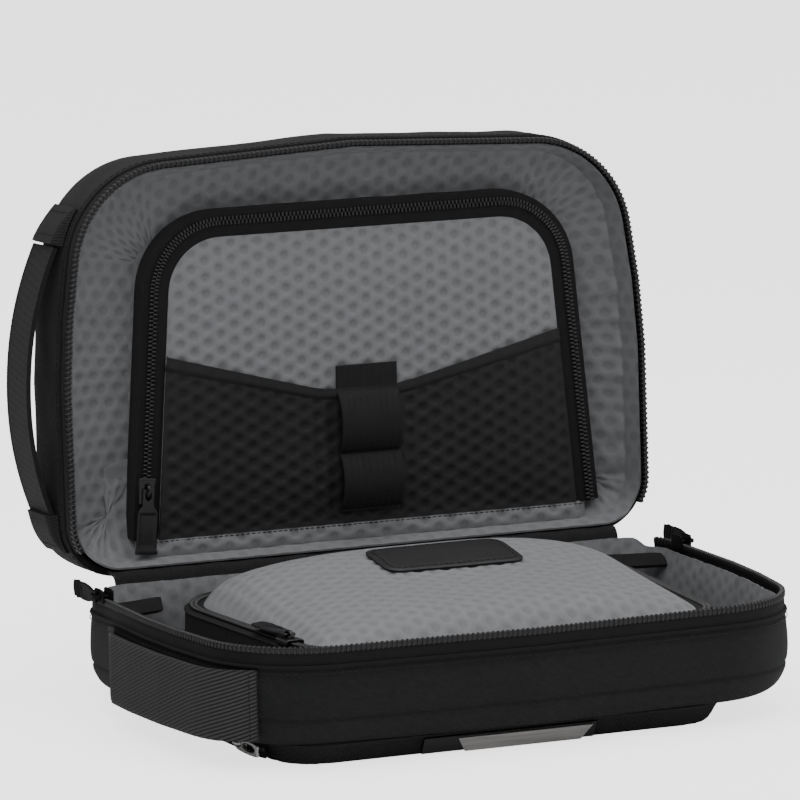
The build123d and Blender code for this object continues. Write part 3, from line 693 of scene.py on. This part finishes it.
# Ribbed grip on the left: a wide band of nylon with slanting ribs, sewn down at both ends
# and standing off the wall between them, to hold the bag by while it is zipped.
RIBBED = cloth_material("ribbed_nylon", (0.012, 0.012, 0.0125), (0.045, 0.045, 0.047), 0.9, rough=0.6,
                        gloss=0.3)
grip_edge = rounded_edge(BAG_CORNERS, 0.45)
grip_edge = grip_edge[(grip_edge[:, 0] < -112) & (grip_edge[:, 1] > 44) & (grip_edge[:, 1] < 166)]
grip_length = steps(grip_edge).sum()
RIB_PITCH, RIB_SLOPE, RIB_HIGH = 1.4, math.radians(22), 0.45
GRIP_LOW, GRIP_TALL, GRIP_SEWN, GRIP_STAND = 12, 28, -1.9, 5.0
# Painted highlight: a thin lighter line along the crest of each rib, where light catches it, over the dark
# nylon.
rib_nodes, rib_link = RIBBED.node_tree.nodes, RIBBED.node_tree.links.new
rib_place, rib_dot, rib_wave = new_nodes(rib_nodes, "TexCoord", "VectorMath", "Math")
rib_level, rib_crest_highlight = new_nodes(rib_nodes, "MapRange", "Mix")
rib_dot.operation, rib_wave.operation, rib_crest_highlight.data_type = "DOT_PRODUCT", "COSINE", "RGBA"
rib_pace = 2 * math.pi / RIB_PITCH
put(rib_dot, {1: (rib_pace * math.sin(RIB_SLOPE), rib_pace * math.cos(RIB_SLOPE), 0)})
put(rib_level, {"From Min": 0.45, "From Max": 1.0})
put(rib_crest_highlight, {"A": (0.009, 0.009, 0.0095, 1), "B": (0.062, 0.062, 0.064, 1)})
rib_link(rib_place.outputs["UV"], rib_dot.inputs[0])
rib_link(rib_dot.outputs["Value"], rib_wave.inputs[0])
rib_link(rib_wave.outputs[0], rib_level.inputs["Value"])
rib_link(rib_level.outputs[0], rib_crest_highlight.inputs["Factor"])
rib_link(rib_crest_highlight.outputs["Result"], rib_nodes["Principled BSDF"].inputs["Base Color"])


def grip_lie(s, w, x, v):
    from_end = np.minimum(s, grip_length - s)
    rib = np.cos(2 * math.pi * (GRIP_TALL * w * math.cos(RIB_SLOPE) + s * math.sin(RIB_SLOPE)) / RIB_PITCH)
    hem = ease(from_end / 3) * ease(w / 0.06) * ease((1 - w) / 0.06)
    inset = GRIP_SEWN - GRIP_STAND * ease(from_end / 17) - RIB_HIGH * np.clip(rib, 0, 1) * hem
    return inset, GRIP_LOW + GRIP_TALL * w


cloth = wrap_cloth("grip_band", grip_edge, 92, grip_lie, shut=False, tall=GRIP_TALL)
sew_on(cloth, 1.6, "lower_half", RIBBED, "ribbed_grip", "grip_anchor_back", "grip_anchor_front")
for end, place in (("front", 6), ("back", -7)):
    x, v, nx, nv = grip_edge[place]
    line = [(x + nx * 3.4, v + nv * 3.4, z) for z in (13, 39)]
    sew_line(f"grip_{end}_stitches", line, 2.4, "lower_half")


# Zip of the front pocket: a thin nylon coil along its left side and most of its right
# side, sewn in on a narrow tape.
front_edge = pocket_edge[(pocket_edge[:, 1] > 13) & (pocket_edge[:, 1] < 146)]
right_edge = front_edge[(front_edge[:, 0] > 0) & (front_edge[:, 1] < 125)]
FRONT_TAPE_LOW, FRONT_TAPE_WIDE, FRONT_COIL_Z = 2.6, 6.4, 6.1


def front_tape_lie(s, w, x, v):
    return -0.5 - 0.3 * np.sin(3.1 * w), FRONT_TAPE_LOW + FRONT_TAPE_WIDE * w


for name, part in (("right", right_edge), ("left", front_edge[front_edge[:, 0] < 0])):
    strip = wrap_cloth(f"front_zip_tape_{name}", part, 7, front_tape_lie, shut=False)
    sew_on(strip, 0.7, "lower_half", TAPE)
    front_teeth = coil_zip(f"front_zip_teeth_{name}", part, 1.5, (1.0, 1.3, 2.0), (-1.1, FRONT_COIL_Z, 0))
    fit(front_teeth, "lower_half", COIL, "front_pocket_zip")


# Badge on the front pocket's slope: a bare plate of brushed gunmetal on a black cast
# backing, fixed through the cloth. Both are shown as they come in the frame.
GUNMETAL = grained("brushed_gunmetal", (0.42, 0.41, 0.4), 700, 0.5, (0.3, 0.5), metal=1.0,
                   stretch=(0.05, 1, 1), pits=0.1)
DARK_METAL = grained("black_metal", (0.008, 0.008, 0.009), 600, 0.5, (0.16, 0.32), pits=0.08)
MATT_METAL = grained("matt_black_metal", (0.006, 0.006, 0.0065), 600, 0.12, (0.5, 0.7), pits=0.1)
for node, finish in (("badge_plate", GUNMETAL), ("badge_backing", DARK_METAL)):
    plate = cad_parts[node]
    for slot in plate.material_slots:
        slot.material = finish


# Outer cloth of the lid: the same nylon over foam, sewn to the tape of its rim and
# rounded over to a back that a board keeps flat.
LID_LOW, LID_HIGH, BACK_ROUND, UPRIGHT_SHARE = 58.6, 97.0, 8.5, 0.62
BACK_Z, BACK_IN = 96.0, 8.4


def lid_wall(s, w, x, v):
    turned = np.clip((w - UPRIGHT_SHARE) / 0.38, 0, 1) * math.pi / 2
    inset = np.where(w < UPRIGHT_SHARE, 0, BACK_ROUND * (1 - np.cos(turned)))
    upright = LID_LOW + w / UPRIGHT_SHARE * (LID_HIGH - BACK_ROUND - LID_LOW)
    z = np.where(w < UPRIGHT_SHARE, upright, LID_HIGH - BACK_ROUND + BACK_ROUND * np.sin(turned))
    belly = np.sin(np.clip(w / 0.8, 0, 1) * math.pi)
    return inset + WALL_INSET - WALL_BELLY * belly - 0.6 * belly * crumple(s, z * 2, 36, 6), z - 1


cloth = wrap_cloth("lid_wall_cloth", bag_edge, 36, lid_wall)
sew_on(cloth, 1.8, "lid", NYLON, "lid_gusset", "lid_foam")


def back_height(x, v, d):
    return BACK_Z + 0.6 * ease(d / 30) * crumple(x, v, 60, 3)


cloth = spread_cloth("lid_back_cloth", drawn_in(bag_edge, BACK_IN), 3.0, back_height)
sew_on(cloth, 1.8, "lid", NYLON, "lid_back_panel", "lid_board", "lid_back_foam")


# Lining of the lid: grey seersucker that starts close behind the teeth, is gathered at
# a seam a finger's width down, and runs on to the foot of the pocket.
LID_LINING_TALL, GATHER_SEAM, LID_FLOOR_Z, LID_FLOOR_IN = 38, 9, 71.8, 34


def lid_lining_wall(s, w, x, v):
    reach = w * LID_LINING_TALL
    past = np.maximum(reach - GATHER_SEAM, 0)
    seam = np.exp(-(((reach - GATHER_SEAM) / 1.0) ** 2))
    depth = 3.4 - 1.8 * ease((8 - v) / 5) + 8.0 * ease(reach / GATHER_SEAM)
    depth = depth + 11.4 * (1 - np.exp(-past / 8)) + 1.2 * seam
    inset = 2.9 + 2.4 * ease(reach / GATHER_SEAM) + past * 1.14
    gather = np.exp(-((reach - 10) ** 2) / 60)
    fold = 1.3 * gather * crumple(s, reach * 0.4, 9, 11) + 1.1 * crumple(s, reach, 27, 12) * ease(reach / 12)
    pressed = dimples(s, reach, 0.6) * ease((reach - GATHER_SEAM) / 4)
    return inset, RIM_Z + depth - fold * 0.8 * ease(reach / 5) + pressed


fine_edge = rounded_edge(BAG_CORNERS, 1.0)
cloth = wrap_cloth("lid_lining_cloth", fine_edge, 46, lid_lining_wall, tall=LID_LINING_TALL)
sew_on(cloth, 0.8, "lid", GREY, "lid_lining")


def lid_floor(x, v, d):
    return LID_FLOOR_Z + 0 * x


cloth = spread_cloth("lid_lining_floor", drawn_in(bag_edge, LID_FLOOR_IN), 4.0, lid_floor)
sew_on(cloth, 0.8, "lid", GREY)


# Zipped pocket in the lid: a black cloth wall on three sides, a wide tape with a coil
# zip along its middle, and a grey seersucker panel.
LID_CORNERS = [(5, 12, 0), (110, 12, 0.5), (99, 146, 34), (-89, 146, 34), (-100, 12, 0.5)]
LID_WALL_FOOT, LID_WALL_TALL, LID_TAPE_WIDE, LID_TAPE_Z, LID_COIL_Z = 71.6, 11.3, 11.6, 60.6, 59.0
pocket_round = rounded_edge(LID_CORNERS, 1.2)
u_edge = pocket_round[(pocket_round[:, 1] > 12.9) & (pocket_round[:, 3] > -0.3)]


def lid_pocket_wall(s, w, x, v):
    belly = np.sin(w * math.pi)
    inset = 0.6 - 0.8 * belly + 0.4 * crumple(s, w * 9, 22, 14) * belly
    return inset, LID_WALL_FOOT - LID_WALL_TALL * w


cloth = wrap_cloth("lid_pocket_wall_cloth", u_edge, 10, lid_pocket_wall, shut=False)
sew_on(cloth, 1.0, "lid", NYLON, "lid_pocket_gusset")


def tape_lie(s, w, x, v):
    return LID_TAPE_WIDE * w - 0.2, LID_TAPE_Z - 0.9 * np.sin(w * 3.0)


cloth = wrap_cloth("lid_pocket_zip_tape", u_edge, 12, tape_lie, shut=False)
sew_on(cloth, 0.8, "lid", TAPE, "lid_pocket_tape")
coil_rows("lid_pocket", u_edge, (3.2, 4.9), LID_COIL_Z, 0, "lid")
PANEL_CORNERS = [(5, 12, 0), (99.4, 12, 0.5), (89.2, 135.4, 23.4), (-79.2, 135.4, 23.4), (-89.4, 12, 0.5)]
PANEL_Z, PANEL_HOLLOW = 60.0, 1.2
panel_edge = rounded_edge(PANEL_CORNERS, 1.2)


def panel_crown(x, v, d):
    return PANEL_Z - PANEL_HOLLOW * ease(d / 24) - 0.5 * crumple(x, v, 55, 15) * ease(d / 15)


def panel_height(x, v, d):
    return panel_crown(x, v, d) + dimples(x, v, PUCKER_DEEP) * ease(d / 3)


lid_panel = spread_cloth("lid_pocket_cover", panel_edge, 0.95, panel_height)
finish_cloth(lid_panel, 1.0)
fit(lid_panel, "lid", GREY, "lid_pocket_panel")


# Slip pocket on the panel: black seersucker, open along a top edge that dips between two
# slants, with the edge folded over and stitched.
DARK = cloth_material("dark_lining", (0.006, 0.006, 0.0065), (0.02, 0.02, 0.021), 0.6, rough=0.55,
                      gloss=0.3, pucker=PUCKER_PITCH)
SLIP_TOP = [(-96, 91), (-15, 69), (19, 69), (106, 90)]
SLIP_LEFT, SLIP_WIDE, SLIP_FOOT, SLIP_BEND, SLIP_LIFT = -96, 202, 12.5, 6, 1.3
SLIP_HEM, SLIP_STITCH = 0.93, 0.925
slip_x, slip_v = np.array(SLIP_TOP, float).T


def slip_place(u, w):
    x, top = SLIP_LEFT + SLIP_WIDE * u, 0
    for k in range(-2, 3):
        top = top + np.interp(x + k * SLIP_BEND / 2, slip_x, slip_v) / 5
    v = SLIP_FOOT + (top - SLIP_FOOT) * w
    x, v, inside = kept_inside(panel_edge, x, v)
    hem = 0.5 * ease((w - SLIP_HEM) / 0.01) - 0.3 * np.exp(-(((w - SLIP_STITCH) / 0.008) ** 2))
    pressed = dimples(x, v, PUCKER_DEEP) * (1 - ease((w - 0.9) / 0.03)) * ease(inside / 3)
    return x, v, panel_crown(x, v, inside) - SLIP_LIFT - hem + pressed


cloth = lay_grid("slip_pocket_cloth", 210, 80, slip_place, (SLIP_WIDE, 75), (SLIP_LEFT, SLIP_FOOT))
sew_on(cloth, 0.7, "lid", DARK, "slip_pocket")
slip_line = []
for share in np.linspace(0.03, 0.97, 60):
    x, v, z = slip_place(np.array([share]), np.array([SLIP_STITCH]))
    slip_line.append((x[0], v[0], z[0] - 0.5))
sew_line("slip_pocket_stitches", slip_line, 2.4, "lid")


# Elastic loops in the middle: one strip of twill elastic, sewn down at three places, so
# that it stands up in two loops that hold a brush or a tube.
ELASTIC = cloth_material("black_elastic", (0.003, 0.003, 0.0035), (0.014, 0.014, 0.015), 0.9, slant=1.0,
                         rough=0.5, gloss=0.25, relief=0.2, stretch=(1, 0.5))
LOOP_STITCHES = (19.0, 42.0, 67.0)
LOOP_LEFT, LOOP_WIDE, LOOP_START, LOOP_LONG, LOOP_Z, LOOP_STAND = -9, 27, 17.5, 61, 57.4, 5.4


def loop_place(u, w):
    v, stand = LOOP_START + LOOP_LONG * u, 0
    for low, high in zip(LOOP_STITCHES, LOOP_STITCHES[1:]):
        stand = stand + LOOP_STAND * np.sin(np.clip((v - low) / (high - low), 0, 1) * math.pi) ** 0.55
    top = ease((v - LOOP_STITCHES[2]) / 8) * 0.4
    cords = 0.12 * np.cos(w * LOOP_WIDE * 2.2)
    return LOOP_LEFT + LOOP_WIDE * w, v + 0 * w, LOOP_Z - stand - top - cords


loops = lay_grid("elastic_strip", 100, 46, loop_place, (LOOP_LONG, LOOP_WIDE))
sew_on(loops, 1.1, "lid", ELASTIC, "elastic_loops", slot="black_tape")
for k, v in enumerate((*LOOP_STITCHES, 77.0)):
    sew_line(f"elastic_stitches_{k}", [(-8, v, 56.5), (17, v, 56.5)], 2.2, "lid")


# Hem band along the hinge: the grey lining folded over into a flat tube, and stitched
# down along the foot of the pocket to close it.
HEM_LEFT, HEM_RIGHT, HEM_LONG, HEM_V, HEM_WIDE, HEM_Z = -99, 104, 203, 4.6, 7.8, 59.6


def hem_place(u, w):
    x, v = HEM_LEFT + HEM_LONG * u, HEM_V + HEM_WIDE * w
    from_end = np.minimum(x - HEM_LEFT, HEM_RIGHT - x)
    puff = np.sin(w * math.pi) ** 0.5 * ease(from_end / 5)
    z = HEM_Z - 1.3 * puff - 0.5 * crumple(x, v * 2, 17, 21) * puff + dimples(x, v, 0.5) * puff
    return x, v, z + 2 * ease((4 - from_end) / 4)


hem = lay_grid("hem_band_cloth", 204, 12, hem_place, (HEM_LONG, 8), (HEM_LEFT, 4))
sew_on(hem, 1.0, "lid", GREY, "hem_band")
sew_line("hem_band_stitches", [(-97, 11.6, 58.3), (102, 11.6, 58.3)], 2.4, "lid")


# Hinge cloth: one strip of nylon that joins the two halves along the back, in a single fixed shape.
HINGE_PATH = [(84.9, 40.6), (84.9, 44), (84.9, 47), (85.3, 49.2)]
HINGE_PATH += [(86.3, 50.8), (88, 51.9), (91, 52.1), (96.5, 51.9)]
HINGE_LEFT, HINGE_WIDE = -113, 226
hinge_y, hinge_z = np.array(HINGE_PATH).T


def hinge_place(u, w):
    marks = np.linspace(0, 1, len(HINGE_PATH))
    y, z = 0, 0
    for k in range(-2, 3):
        shift = np.clip(w + k * 0.03, 0, 1)
        y, z = y + np.interp(shift, marks, hinge_y) / 5, z + np.interp(shift, marks, hinge_z) / 5
    x = HINGE_LEFT + HINGE_WIDE * u
    return x, HINGE_Y - y, z + 0.25 * np.sin(x * 0.35) * np.sin(w * math.pi)


hinge_cloth = lay_grid("hinge_cloth", 170, 22, hinge_place, (HINGE_WIDE, 18))
sew_on(hinge_cloth, 1.5, None, NYLON, "lower_hinge_leaf", "lid_hinge_leaf")
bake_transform(hinge_cloth)


# Carry handle on the lid's left side: a strap of grey-black webbing that arches between
# two sewn pads.
WEBBING = cloth_material("webbing", (0.006, 0.006, 0.0065), (0.024, 0.024, 0.025), 1.5, slant=0.9, rough=0.65,
                         gloss=0.15, relief=0.3, stretch=(0.5, 1))
STRAP_START, STRAP_SPAN, STRAP_X, STRAP_DRIFT, STRAP_RISE = 25.0, 110.0, -132.9, 5.7, 11.0
STRAP_Z, STRAP_WIDE = 65, 24


def strap_place(u, w):
    v = STRAP_START + STRAP_SPAN * u
    rise = 1 - np.abs((v - 80) / 55) ** 2.1
    selvage = 0.25 * (np.abs(w - 0.5) > 0.45)
    x = STRAP_X + STRAP_DRIFT * u - STRAP_RISE * rise - selvage
    return x, v + 0 * w, STRAP_Z + STRAP_WIDE * w


strap = lay_grid("handle_strap", 120, 40, strap_place, (112, STRAP_WIDE))
sew_on(strap, 2.0, "carry_handle", WEBBING, "handle")
side_edge = bag_edge[bag_edge[:, 0] < -100]
PAD_LOW, PAD_TALL, PAD_OUT, PAD_EDGE, PAD_RAMP = 64, 26, 0.9, 0.6, 3.9
for name, low, high in (("low", 9.5, 26.5), ("high", 133.5, 150.5)):
    pad_edge = side_edge[(side_edge[:, 1] > low) & (side_edge[:, 1] < high)]
    pad_edge = between(np.linspace(0, 1, 40), np.linspace(0, 1, len(pad_edge)), pad_edge).T
    pad_length = steps(pad_edge).sum()

    def pad_lie(s, w, x, v):
        ramp = s / pad_length if name == "high" else 1 - s / pad_length
        stand = (PAD_EDGE + PAD_RAMP * ramp) * ease(w / 0.09) * ease((1 - w) / 0.09)
        return -PAD_OUT - stand, PAD_LOW + PAD_TALL * w

    pad = wrap_cloth(f"handle_pad_{name}", pad_edge, 30, pad_lie, shut=False, tall=25)
    sew_on(pad, 1.4, "lid", NYLON, f"handle_anchor_{name}")
    for k, share in enumerate((0.2, 0.8)):
        x, v, nx, nv = pad_edge[int(share * 39)]
        out = PAD_OUT + PAD_EDGE + PAD_RAMP * (share if name == "high" else 1 - share) + 0.8
        line = [(x + nx * out, v + nv * out, z) for z in (68, 86)]
        sew_line(f"handle_pad_{name}_stitches_{k}", line, 2.2, "lid")


# Sliders of the three pocket zips: die-cast bodies with a bridge on top, that run on the
# coil, each with a pull of its own kind that hangs from the bridge.
def in_place(origin, ahead, up):
    """The matrix that takes a piece modelled in mm, +X ahead and +Z up, to its place."""
    ahead, up = Vector(ahead).normalized(), Vector(up).normalized()
    side = up.cross(ahead)
    turn = Matrix((ahead, side, up)).transposed().to_4x4()
    x, v, z = origin
    return Matrix.Translation(Vector((x, HINGE_Y - v, z)) / 1000) @ turn @ Matrix.Scale(0.001, 4)


def soften(piece):
    """Rounds the active piece by one step of subdivision."""
    soft = piece.modifiers.new("round", "SUBSURF")
    soft.levels = soft.render_levels = 1
    bpy.ops.object.modifier_apply(modifier="round")
    bpy.ops.object.shade_smooth()


def shape_grid(name, columns, rows, move):
    """A grid moved into shape: move takes two arrays from -1 to 1 and gives x, y and z in mm."""
    bpy.ops.mesh.primitive_grid_add(x_subdivisions=columns, y_subdivisions=rows, size=2)
    piece = bpy.context.object
    piece.name = piece.data.name = name
    flat = np.empty(len(piece.data.vertices) * 3)
    piece.data.vertices.foreach_get("co", flat)
    a, b = flat.reshape(-1, 3)[:, :2].T
    piece.data.vertices.foreach_set("co", np.stack(move(a, b), axis=1).ravel())
    return piece


def cut_hole(piece, x, y, long, wide):
    """Cuts an oval hole in a flat grid, and draws its rim to the oval."""
    def share(co):
        return math.hypot((co[0] - x) / long, (co[1] - y) / wide)

    bpy.ops.object.mode_set(mode="EDIT")
    bpy.ops.mesh.select_mode(type="FACE")
    bpy.ops.mesh.select_all(action="DESELECT")
    bpy.ops.object.mode_set(mode="OBJECT")
    for face in piece.data.polygons:
        face.select = share(face.center) < 1
    bpy.ops.object.mode_set(mode="EDIT")
    bpy.ops.mesh.delete(type="FACE")
    bpy.ops.object.mode_set(mode="OBJECT")
    for corner in piece.data.vertices:
        part = share(corner.co)
        if 0 < part < 1.3:
            corner.co.x, corner.co.y = x + (corner.co.x - x) / part, y + (corner.co.y - y) / part


def cast_from(name, shapes):
    """One metal body from shaped sheets: each is given as its columns, rows, thickness and move."""
    parts = []
    for columns, rows, thick, move in shapes:
        part = shape_grid("part", columns, rows, move)
        thicken(part, thick)
        soften(part)
        parts.append(part)
    bpy.ops.object.select_all(action="DESELECT")
    for part in parts:
        part.select_set(True)
    bpy.context.view_layer.objects.active = parts[0]
    bpy.ops.object.join()
    parts[0].name = parts[0].data.name = name
    return parts[0]


def slider_body(name, width, top):
    """The body, as a shell open at both ends, and the bridge above it."""
    def shell(a, b):
        wide = width / 2 * (1 - 0.14 * (a + 1) / 2)
        across = np.abs(b) * 1.9
        side = b / np.maximum(np.abs(b), 0.01) * np.minimum(across, 1) * wide
        return 5.5 * a, side, top - 0.5 - 2.0 * np.clip(across - 0.9, 0, 1)

    def arch(a, b):
        return 3.2 * a, 0.75 * b, top + 2.5 * (1 - np.abs(a) ** 3.5)

    return cast_from(name, [(12, 16, 0.9, shell), (14, 3, 0.7, arch)])


PULL_THICK = 1.2


def pull_tab(name, length, half_width, pressed, window=None):
    """A moulded tab from its eye to its tip, with an oval eye, and its face pressed in or ridged."""
    def outline(a, b):
        x = -1.0 + (length + 1.0) * (a + 1) / 2
        return x, b * half_width(x / length), 0 * x

    tab = shape_grid(name, 44, 12, outline)
    cut_hole(tab, 1.9, 0, 1.9, 1.2)
    if window:
        cut_hole(tab, *window)
    thicken(tab, PULL_THICK)
    for corner in tab.data.vertices:
        share = corner.co.x / length
        corner.co.z += pressed(share, corner.co.y / half_width(share)) * (1 if corner.co.z > 0 else -1)
    soften(tab)
    return tab


def flat_tab(share):
    return 2.6 + 1.9 * ease((share - 0.22) / 0.12) + 0.35 * ease((share - 0.9) / 0.05)


def framed(share, across):
    if share > 0.92:
        return 0.25
    return -0.22 if 0.36 < share < 0.86 and abs(across) < 0.72 else 0


def waisted_tab(share):
    belly = np.sin(np.clip((share - 0.15) / 0.75, 0, 1) * math.pi) ** 0.7
    return 2.4 + 1.3 * belly + 0.9 * ease((share - 0.7) / 0.15)


def ridged(share, across):
    if share > 0.66:
        return 0.3 * math.sin((share * 27 + across * 1.2) * 2.2)
    return -0.2 if 0.3 < share < 0.6 and abs(across) < 0.6 else 0


def loop_tab(share):
    return 1.9 + 0.9 * np.sin(np.clip(share, 0, 1) * math.pi) ** 0.3


def plain(share, across):
    return 0


PIVOT, SLIDER_TOP, PULL_WINDOW = 3.95, 2.85, (11.8, 0, 6.2, 1.4)
SLIDERS = [
    ("lid_pocket", (-94.28, 33, 60.0), (-11, 134, 0), (0, 0, -1), 7.1, 26,
     flat_tab, framed, DARK_METAL, "dark_metal"),
    ("dome", (-90.8, 134, 44.4), (-12, 146, 0), (0, 0, 1), 7.1, 27,
     waisted_tab, ridged, DARK_METAL, "dark_metal"),
    ("front", (-107.36, 128, FRONT_COIL_Z), (6, -150, 0), (-150, -6, 0), 5.1, 20,
     loop_tab, plain, GUNMETAL, "gunmetal"),
]
for name, origin, ahead, up, width, length, outline, pressed, metal, slot_name in SLIDERS:
    place = in_place(origin, ahead, up)
    cast = slider_body(f"{name}_slider_body", width, SLIDER_TOP)
    cast.data.transform(place)
    fit(cast, f"{name}_slider", metal, f"{name}_slider", slot=slot_name)
    window = PULL_WINDOW if name == "front" else None
    tab = pull_tab(f"{name}_pull_tab", length, outline, pressed, window)
    tab.data.transform(place @ Matrix.Translation((0, 0, PIVOT)))
    fit(tab, f"{name}_pull", metal, f"{name}_pull", slot=slot_name)


# Sliders of the main zip, one on each side by the hinge: two plates over the joined
# coils with a post between them, and a moulded pull on the outer one.
MAIN_SLIDER_X, MAIN_SLIDER_V, MAIN_PIVOT, PLATE_Z = 129, 30, 3.65, 2.05


def plate_at(level):
    """The move of a plate with its ends a little narrower, at a height above the coil's middle."""
    return lambda a, b: (5.0 * a, 3.1 * b * (1 - 0.2 * a ** 4), level + 0 * a)


def main_arch(a, b):
    return 3.2 * a, 0.75 * b, 2.5 + 2.5 * (1 - np.abs(a) ** 3.5)


def main_post(a, b):
    return 2.5 * a, 0 * a, 2.1 * b


MAIN_PARTS = [(10, 8, 0.9, plate_at(-PLATE_Z)), (10, 8, 0.9, plate_at(PLATE_Z))]
MAIN_PARTS += [(14, 3, 0.7, main_arch), (3, 3, 0.6, main_post)]
for name, side in (("left", -1), ("right", 1)):
    place = in_place((side * MAIN_SLIDER_X, MAIN_SLIDER_V, RIM_Z), (0, 1, 0), (side, 0, 0))
    cast = cast_from(f"main_slider_{name}_body", MAIN_PARTS)
    cast.data.transform(place)
    fit(cast, f"main_slider_{name}", MATT_METAL, f"main_slider_{name}", slot="dark_metal")
    tab = pull_tab(f"main_pull_{name}_tab", 24, waisted_tab, ridged)
    tab.data.transform(place @ Matrix.Translation((0, 0, MAIN_PIVOT)))
    fit(tab, f"main_pull_{name}", MATT_METAL, f"main_pull_{name}", slot="dark_metal")


# The floor and the soft light of a photographer's white table: pale paper that runs out
# into a white room, brighter to the camera than the light it throws on the bag.
def glow_when_seen(tree, strength, otherwise, seen):
    """Sets a brightness that is one value to the camera and another to all other rays."""
    path, level = new_nodes(tree.nodes, "LightPath", "MapRange")
    put(level, {"To Min": otherwise, "To Max": seen})
    tree.links.new(path.outputs["Is Camera Ray"], level.inputs["Value"])
    tree.links.new(level.outputs[0], strength)


bpy.ops.mesh.primitive_plane_add(size=8, location=(0, 0, 0))
floor = bpy.context.object
floor.name = "floor"
pale = bpy.data.materials.new("pale_floor")
pale.use_nodes = True
pale_shader = pale.node_tree.nodes["Principled BSDF"]
put(pale_shader, {"Base Color": (0.9, 0.9, 0.9, 1), "Emission Color": (1, 1, 1, 1)})
glow_when_seen(pale.node_tree, pale_shader.inputs["Emission Strength"], 0, 2.0)
floor.data.materials.append(pale)
world = bpy.data.worlds.new("studio")
bpy.context.scene.world = world
world.use_nodes = True
backdrop = world.node_tree.nodes["Background"]
put(backdrop, {"Color": (1, 1, 1, 1)})
glow_when_seen(world.node_tree, backdrop.inputs["Strength"], 0.4, 4.2)
LAMPS = [("key", (-0.7, -0.9, 1.3), 7, 0.9), ("fill", (1.0, -0.6, 0.8), 3, 0.9)]
LAMPS += [("top", (0, 0.1, 1.5), 14, 1.2)]
for name, spot, power, size in LAMPS:
    lamp_data = bpy.data.lights.new(name, "AREA")
    lamp_data.energy, lamp_data.size = power, size
    lamp = bpy.data.objects.new(name, lamp_data)
    lamp.location = spot
    lamp.rotation_euler = (Vector((0, 0.05, 0.1)) - lamp.location).to_track_quat("-Z", "Y").to_euler()
    bpy.context.collection.objects.link(lamp)
